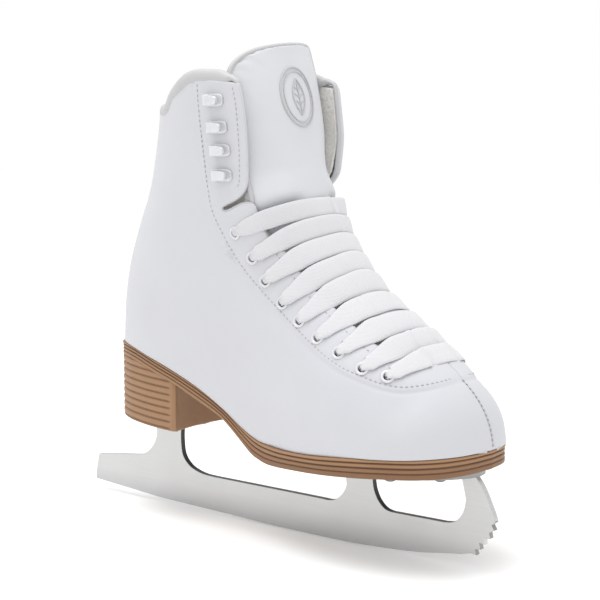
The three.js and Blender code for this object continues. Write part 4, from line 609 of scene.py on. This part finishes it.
# ------------------------------------------------------------------ lace
bag = Bag()
for i, ((ex, ez), (cx, cz)) in enumerate(zip(EYELETS, BARS)):
    ye = EYE_P[i][1]; M = np.array([cx - ex, cz - ez]); Lm = np.linalg.norm(M); M /= Lm
    sp = [np.hypot(BARS[j+1][0] - BARS[j][0], BARS[j+1][1] - BARS[j][1]) for j in range(8)]
    wc = 0.5 * np.mean([sp[max(i-1, 0)], sp[min(i, 7)]]) + 0.15; wc = min(max(wc, 5.4), 7.0)
    yv = ye * np.sin(np.linspace(-1, 1, 61) * np.pi / 2) * 0.965; ay = np.abs(yv)
    d = -1.35 - (1.3, 1.3, 1.2, 1.0, 0.6, 0.2, 0, 0, 0)[i] * smooth(-14, 14, yv) + (1.75, 1.75, 1.75, 1.75, 1.75, 1.75, 1.6, 0.9, 0.0)[i] * (1 - smooth(10, 24, ay))
    lo = np.zeros_like(yv); hi = np.full_like(yv, 75.0)
    for _ in range(26):
        m_ = (lo + hi) / 2; c = half_d(ex + M[0]*m_, ez + M[1]*m_, d) > ay; lo = np.where(c, m_, lo); hi = np.where(c, hi, m_)
    s_ = np.clip((lo + hi) / 2, 0, Lm + 2); X = ex + M[0]*s_; Z = ez + M[1]*s_
    P = np.stack([X, yv, Z], -1)
    gx, gz = grad(X, Z); sg = np.sign(yv) + (yv == 0); N = np.stack([-gx, sg, -gz], -1); N /= np.linalg.norm(N, axis=1, keepdims=True)
    mid = ay < 6; 
    Mn = np.array([0, 0, 0.0]); e = 1.5; tx = crest_x(cz + e) - crest_x(cz - e); nn = np.array([2*e, 0, -tx]); nn /= np.linalg.norm(nn)
    wn = smooth(2, 12, ay)[:, None]; N = N * wn + nn * (1 - wn); N /= np.linalg.norm(N, axis=1, keepdims=True)
    ends = []
    for sgn in (-1, 1):
        p, n = EYE_P[i] * [1, sgn, 1], EYE_N[i] * [1, sgn, 1]; ends.append(np.array([p - n * 5.0, p - n * 2.5, p - n * 0.2, p + n * 1.6]))
    full = np.vstack([ends[0], P[2:-2], ends[1][::-1]]); NN = np.vstack([np.tile(N[2], (4, 1)), N[2:-2], np.tile(N[-3], (4, 1))])
    for k in range(2, 4):   # at the mouth the ribbon turns, so its normal turns too
        pass
    full = catmull(full[::1], 2); NN = np.stack([np.interp(np.arange(len(full)) / 2, np.arange(len(NN)), NN[:, k]) for k in range(3)], -1)
    L = np.r_[0, np.cumsum(np.linalg.norm(np.diff(full, axis=0), axis=1))]; e_ = np.minimum(L, L[-1] - L)
    a = 1.55 + (4.3 - 1.55) * smooth(5.5, 12, e_) + (wc - 4.3) * smooth(12, 30, e_); b = 1.25 - 0.62 * smooth(5, 13, e_)
    a = a * (1 + 0.03 * np.sin(L / 7.0 + i * 1.7)); tilt = np.radians(7 + 3 * math.sin(i * 2.1)) * smooth(14, 30, e_) * -1.0
    # fix the turn frames near the eyelet: blend the normal towards the path's own side
    T = np.gradient(full, axis=0); T /= np.linalg.norm(T, axis=1, keepdims=True)
    for k in range(len(full)):
        if e_[k] < 7:
            sgn = -1 if L[k] < L[-1] / 2 else 1; n = EYE_N[i] * [1, sgn, 1]; al_dir = np.array([M[0], 0, M[1]]); side_dir = np.cross(np.array([0, 1.0, 0]), al_dir); w_ = 1 - smooth(3.5, 7, e_[k])
            # ribbon width runs along the facing, square to the way the bar leaves
            wdir = np.cross(n, al_dir); wdir /= np.linalg.norm(wdir); nk = np.cross(wdir, T[k]); nk = nk if nk @ NN[k] > 0 else -nk; NN[k] = NN[k] * (1 - w_) + nk * w_
    v, f, U = sweep(full, NN, a, b, m=14, power=2.6, tilt=tilt); bag.add(v, f, U)
# runs under the eyelet stays from one hole to the next
for i in range(8):
    for sgn in (-1, 1):
        if (i % 2 == 0) != (sgn > 0): pass
        p, n, p2, n2 = EYE_P[i] * [1, sgn, 1], EYE_N[i] * [1, sgn, 1], EYE_P[i+1] * [1, sgn, 1], EYE_N[i+1] * [1, sgn, 1]
        q1, q2 = p - n * 5.4, p2 - n2 * 5.4; mid = (q1 + q2) / 2 + np.array([1.6, -sgn * 4.6, 1.4]); full = catmull(np.array([p - n * 3.6, q1, mid, q2, p2 - n2 * 3.6]), 8)
        NN = np.tile(n + n2, (len(full), 1)); L = np.linspace(0, 1, len(full)); v, f, U = sweep(full, NN, 1.5 + 2.6 * np.sin(np.pi * L), 0.6, m=10, power=2.6); bag.add(v, f, U)
ob = bag.emit("lace_ribbon", M_LACE, slot="lace_cotton", body="boot"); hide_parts("lace")

# ------------------------------------------------------------------ sole and heel
def outline(n, grow):
    o = catmull(SOLE_OUT, 12); o = o[(np.arange(len(o)))]; ang = o.copy()
    T = np.gradient(o, axis=0); T /= np.linalg.norm(T, axis=1, keepdims=True); T[0] = (0, 1); T[-1] = (0, -1); Nn = np.stack([-T[:, 1], T[:, 0]], -1)
    o = resample(o, np.linalg.norm(np.diff(o, axis=0), axis=1).sum() / n)
    T = np.gradient(o, axis=0); T /= np.linalg.norm(T, axis=1, keepdims=True); T[0] = (0, 1); T[-1] = (0, -1); Nn = np.stack([-T[:, 1], T[:, 0]], -1)
    return o + Nn * grow, Nn
_ux = np.linspace(-126, 128, 509); _uz = lin(SOLE_UNDER, _ux); _k = np.exp(-(np.arange(-16, 17) / 7.0) ** 2); _k /= _k.sum(); _uz = np.convolve(np.pad(_uz, 16, mode='edge'), _k, 'valid')
def under_(x): return np.interp(x, _ux, _uz)
def groove(h, spacing, depth, wdt):
    p = (h / spacing) % 1.0; return depth * np.exp(-((p - 0.5) * spacing / wdt) ** 2)
n = 300
O, ON = outline(n, 0.0); grow_ = 0.9 - 1.0 * smooth(-70, -118, O[:, 0]) + 1.7 * smooth(84, 106, O[:, 0]) * (1 - smooth(112, 124, O[:, 0])) - 0.6 * smooth(112, 124, O[:, 0]); O = O + ON * grow_[:, None]; O[0, 1] = O[-1, 1] = 0
m = 72
fr_ = np.linspace(0, 1, m); TN = []; zt = tab(FEATHER, O[:, 0]); zu = under_(O[:, 0]); thk = zt - zu
R = []
for f_ in fr_:
    h = f_ * thk
    g = np.zeros(len(O))
    painted_shade_lines = np.zeros(len(O))
    # each groove cuts in and is darkened with painted shade
    for c_, dp, wd_ in ((0.20, 0.75, 0.42), (0.45, 0.85, 0.45), (0.70, 0.6, 0.38)):
        e_ = np.exp(-(((f_ - c_) * thk) / wd_) ** 2); g = g + dp * e_; painted_shade_lines = np.maximum(painted_shade_lines, e_)
    # the dark line at the top, where the sole meets the upper, is painted shadow; the stack is lighter at the top and
    # darker towards the bottom as painted light and shade, evened out towards the heel
    painted_shade_lines = np.maximum(painted_shade_lines, 0.6 * (h < 0.35)); painted_stack_shade = 0.95 if f_ < 0.20 else 0.75 if f_ < 0.45 else 0.35 if f_ < 0.70 else 0.1
    painted_stack_shade = painted_stack_shade + (0.85 - painted_stack_shade) * smooth(10, -40, O[:, 0]); TN.append(np.stack([painted_shade_lines, painted_stack_shade, 0 * painted_shade_lines], -1))
    g = g + 0.8 * (np.clip(1 - h / 0.8, 0, 1)) ** 2 + 0.9 * (np.clip(1 - (thk - h) / 0.9, 0, 1)) ** 2 - 0.3 * (f_ < 0.18)
    W = O - ON * g[:, None]; W[0, 1] = W[-1, 1] = 0
    R.append(np.stack([W[:, 0], W[:, 1], zt - h], -1))
TN = np.array(TN); TN = np.concatenate([TN, TN[:, -2:0:-1]], 1).reshape(-1, 3)
R = np.array(R); k = R.shape[1]; loop = np.concatenate([R, (R * [1, -1, 1])[:, -2:0:-1]], 1); q_ = loop.shape[1]
Vv = loop.reshape(-1, 3); Ff = [(i*q_ + j, (i+1)*q_ + j, (i+1)*q_ + (j+1) % q_, i*q_ + (j+1) % q_) for i in range(m-1) for j in range(q_)]
Ff = [f[::-1] for f in Ff]
def lid(base, flip):
    L = []
    for j in range(k - 1):
        a, b = base + j, base + j + 1; c = base + (q_ - j - 1) % q_; d = base + (q_ - j) % q_
        ring = [a, b] + ([c] if c != b else []) + ([d] if d != a else []); L.append(tuple(ring if flip else ring[::-1]))
    return L
Ff += lid(0, False) + lid((m-1)*q_, True)
ob = emit("outsole_layers", Vv, Ff, M_SOLE, slot="sole", body="boot", groove_and_stack_shade=TN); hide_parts("outsole")
bm = bmesh.new(); bm.from_mesh(ob.data); bmesh.ops.recalc_face_normals(bm, faces=bm.faces); bm.to_mesh(ob.data); bm.free()
# heel block: columns round the outline and across the breast
O, ON = outline(n, 0.0); O = O + ON * (0.5 - 0.7 * smooth(-80, -118, O[:, 0]))[:, None]; O[0, 1] = O[-1, 1] = 0; sel = O[:, 0] < -64.2; O, ON = O[sel], ON[sel]
zt = under_(O[:, 0]) + 0.3; zb_ = np.interp(O[:, 0], [-126, -110, -64], [55.0, 54.2, 51.4]); m = 120
cols = [(np.array([p[0], p[1]]), nn, a, b, 1.0) for p, nn, a, b in zip(O, ON, zt, zb_)]
yl = O[-1, 1]; br = []
for y_ in np.linspace(yl, -yl, 26)[1:-1]:
    xx = O[-1, 0] + 0.2 - 3.2 * (1 - (y_ / yl) ** 2); br.append((np.array([xx, y_]), np.array([1.0, 0]), under_(xx) + 0.3, np.interp(xx, [-126, -110, -64], [55.0, 54.2, 51.4]), 0.0))
allc = cols + br + [(c[0] * [1, -1], c[1] * [1, -1], c[2], c[3], c[4]) for c in cols[::-1][:-1]]
R = []; TN = []
for f_ in np.linspace(0, 1, m):
    ring = []
    for p, nn, a, b, gk in allc:
        # grooves darken as painted shade; the breast's tone of 0.75 against 0.9 on the sides is painted shade
        z_ = b + (a - b) * (1 - f_); h = z_ - b; e_ = gk * groove(h + 0.6, 3.9, 1.0, 0.62); e_ = e_ * (0.0 if p[0] > -67.5 and gk else 1.0) * float(smooth(-66.5, -70.5, p[0])); g = 0.8 * e_ + (1.9 * float(smooth(-67.5, -64.3, p[0])) if gk else 0.0) + 0.9 * np.clip(1 - h / 0.9, 0, 1) ** 2
        flare = 0.0 if gk else 1.8 * math.sin(math.pi * min(max(1 - f_, 0), 1)) ; w = p - nn * (g + flare); ring.append((w[0], w[1], z_)); TN.append((e_, 0.9 if gk else 0.75, 0))
    R.append(ring)
R = np.array(R); Vv, Ff = tube_rings(R)
ob = emit("heel_stack_grooved", Vv, Ff, M_HEEL, slot="heel_stack", body="boot", groove_and_stack_shade=np.array(TN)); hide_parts("heel")
bm = bmesh.new(); bm.from_mesh(ob.data); bmesh.ops.recalc_face_normals(bm, faces=bm.faces); bm.to_mesh(ob.data); bm.free()
# footbed
xs = np.linspace(-116, 117, 110); yy = np.linspace(-1, 1, 33); top = []; bot = []
wv = np.maximum(half_d(xs, tab(FEATHER, xs) + 4.5, np.full_like(xs, 6.2)), 0.5)
for x_, w_ in zip(xs, wv):
    zf = float(tab(FEATHER, x_)); 
    for y_ in yy: top.append((x_, w_ * y_, zf + 5.6 + 2.2 * abs(y_) ** 3 * (1 if x_ < 30 else 0.5))); bot.append((x_, w_ * y_ * 0.985, zf + 3.1))
I = np.arange(len(xs) * 33).reshape(len(xs), 33); q4 = np.stack([I[:-1, :-1], I[1:, :-1], I[1:, 1:], I[:-1, 1:]], -1).reshape(-1, 4); nn_ = len(top)
faces = [tuple(f) for f in q4] + [tuple(f[::-1] + nn_) for f in q4]; rim = list(I[:, 0]) + list(I[-1, 1:]) + list(I[-2::-1, -1]) + list(I[0, -2:0:-1])
for a, b in zip(rim, rim[1:] + rim[:1]): faces.append((b, a, a + nn_, b + nn_))
ob = emit("footbed_cushion", np.vstack([top, bot]), faces, M_FLEECE, slot="lining_fleece", body="boot"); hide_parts("footbed")
bm = bmesh.new(); bm.from_mesh(ob.data); bmesh.ops.recalc_face_normals(bm, faces=bm.faces); bm.to_mesh(ob.data); bm.free()

# ------------------------------------------------------------------ blade
RUN = [(-159.3,5.6),(-156,5.4),(-138,4.3),(-121,3.3),(-104,2.2),(-87,1.8),(-71,1.4),(-55,1.1),(-40,0.7),(-25,0.3),(-10,0.1),(5,0),(33,0),(46,0.3),(59.5,0.9),(72.5,1.7),(85,2.9),(98,4.8),(110,6.5)]
PICK = [(116.4,8),(119.4,7.5),(118.5,10.5),(121.8,10.8),(121.1,14.3),(124.1,13.8),(124,17.2),(127.5,17.5),(126.9,20.5),(129.8,22.1),(128.3,24.6),(130.3,26.3)]
CUR = [[(130.3,26.3),(129.7,28.7),(127.3,34),(124.8,39.3),(121.8,44.4),(118.8,48)], [(109.9,47.3),(111.7,40.3),(112.7,35.2),(111.3,28.8),(108.4,24.6),(104.8,22.4),(100,21.6)], [(72,21.4),(65.8,21.5),(61.9,22.7),(57.9,26.4),(55.3,31.5),(54.2,37.8),(54.2,43.6)], [(36.5,42.4),(36.5,35),(36.6,30.7),(33.9,25.9),(29.8,22.5),(25.6,21.2),(20,21.2)], [(-60,21.3),(-67,21.6),(-73.4,22.8),(-79.8,25.5),(-84.6,30.8),(-86.1,39.7),(-85.6,52.1)], [(-106.3,53.3),(-106.3,46),(-106.3,40.6),(-107.7,36.1),(-112,30.6),(-118,27),(-138,24.2),(-156.7,21.6)], [(-156.7,21.6),(-159.2,10.7),(-159.3,5.6)]]
pts = [np.array(catmull(RUN, 6)), np.array(PICK)] + [np.array(catmull(c, 8)) for c in CUR[:-1]] + [np.array(CUR[-1][1:-1])]
poly = np.vstack(pts); keep = np.r_[True, np.linalg.norm(np.diff(poly, axis=0), axis=1) > 0.05]; poly = poly[keep]
cu = bpy.data.curves.new("blade_curve", "CURVE"); cu.dimensions = "2D"; cu.fill_mode = "BOTH"; sp_ = cu.splines.new("POLY"); sp_.points.add(len(poly) - 1)
for p, (x_, z_) in zip(sp_.points, poly): p.co = ((x_ + SX) / 1000, z_ / 1000, 0, 1)
sp_.use_cyclic_u = True; cu.extrude = 0.00155; cu.bevel_depth = 0.00025; cu.bevel_resolution = 2; cu.offset = -0.00025
tmp = bpy.data.objects.new("blade_tmp", cu); bpy.context.scene.collection.objects.link(tmp); bpy.context.view_layer.update()
me = bpy.data.meshes.new_from_object(tmp.evaluated_get(bpy.context.evaluated_depsgraph_get())); bpy.data.objects.remove(tmp)
me.transform(Matrix.Rotation(math.radians(90), 4, "X")); me.materials.clear(); me.materials.append(M_BLADE); me.materials.append(M_BLADE_EDGE_SHADE); me.materials.append(M_PLATE_SHADE)
ob = bpy.data.objects.new("blade_ground", me); bpy.context.scene.collection.objects.link(ob)
bm = bmesh.new(); bm.from_mesh(me); bmesh.ops.remove_doubles(bm, verts=bm.verts, dist=1e-6); bmesh.ops.recalc_face_normals(bm, faces=bm.faces); bm.to_mesh(me); bm.free()
# index 1: painted shade on the blade's cut edges and window floors; index 2: painted shade on the tops of the pick
# teeth
for pl in me.polygons:
    c_ = pl.center * 1000; pl.material_index = 1 if (abs(pl.normal.y) < 0.35 and c_.z > 18.5 and -88 < c_.x - SX < 113 and pl.normal.x > -0.75) else 2 if (abs(pl.normal.y) < 0.35 and c_.x - SX > 114 and c_.z < 27 and pl.normal.z > 0.1) else 0; pl.use_smooth = False
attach(ob, "boot"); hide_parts("blade")

# ------------------------------------------------------------------ CAD nodes that stay
def dress(names, m):
    for nme in names:
        o = frame["nodes"][nme] if isinstance(frame["nodes"], dict) else bpy.data.objects[nme]
        if isinstance(o, dict): o = bpy.data.objects[nme]
        if not isinstance(o, bpy.types.Object): o = bpy.data.objects[nme]
        o.data.materials.clear(); o.data.materials.append(m)
# the plates and screws take the darkened steel: painted shade
dress(["sole_plate", "heel_plate"] + [n_ for n_ in frame["nodes"] if "screw" in n_], M_PLATE_SHADE)
dress(["eyelet_stay_right", "eyelet_stay_left", "heel_counter", "toe_puff", "insole_board"], M_FOAM)

# ------------------------------------------------------------------ floor and light
me = bpy.data.meshes.new("floor"); s_ = 6.0
me.from_pydata([(-s_, -s_, -0.0006), (s_, -s_, -0.0006), (s_, s_, -0.0006), (-s_, s_, -0.0006)], [], [(0, 1, 2, 3)]); fl = bpy.data.objects.new("floor", me); bpy.context.scene.collection.objects.link(fl)
fm, nt, b = mat("floor_white"); b.inputs["Base Color"].default_value = (0.80, 0.80, 0.80, 1); b.inputs["Roughness"].default_value = 0.9; b.inputs["Specular IOR Level"].default_value = 0.1
b.inputs["Emission Color"].default_value = (1, 1, 1, 1); b.inputs["Emission Strength"].default_value = 0.2
me.materials.append(fm); fl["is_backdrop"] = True
w = bpy.data.worlds.new("studio"); bpy.context.scene.world = w; w.use_nodes = True; bg = w.node_tree.nodes["Background"]; bg.inputs[0].default_value = (1, 1, 1, 1); bg.inputs[1].default_value = 1.0
def area(name, loc, target, size, power, color=(1, 1, 1)):
    l = bpy.data.lights.new(name, "AREA"); l.shape = "RECTANGLE"; l.size, l.size_y = size; l.energy = power; l.color = color; o = bpy.data.objects.new(name, l)
    o.location = loc; o.rotation_euler = (Vector(target) - Vector(loc)).to_track_quat("-Z", "Y").to_euler(); bpy.context.scene.collection.objects.link(o)
area("key_top", (-0.25, -0.25, 1.65), (0, 0, 0.1), (1.0, 1.0), 14.0)
area("top_soft", (0.25, -0.1, 1.75), (0, 0, 0.1), (1.2, 1.2), 4.0)
bpy.context.scene.view_settings.view_transform = "Standard"

lo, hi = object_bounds()
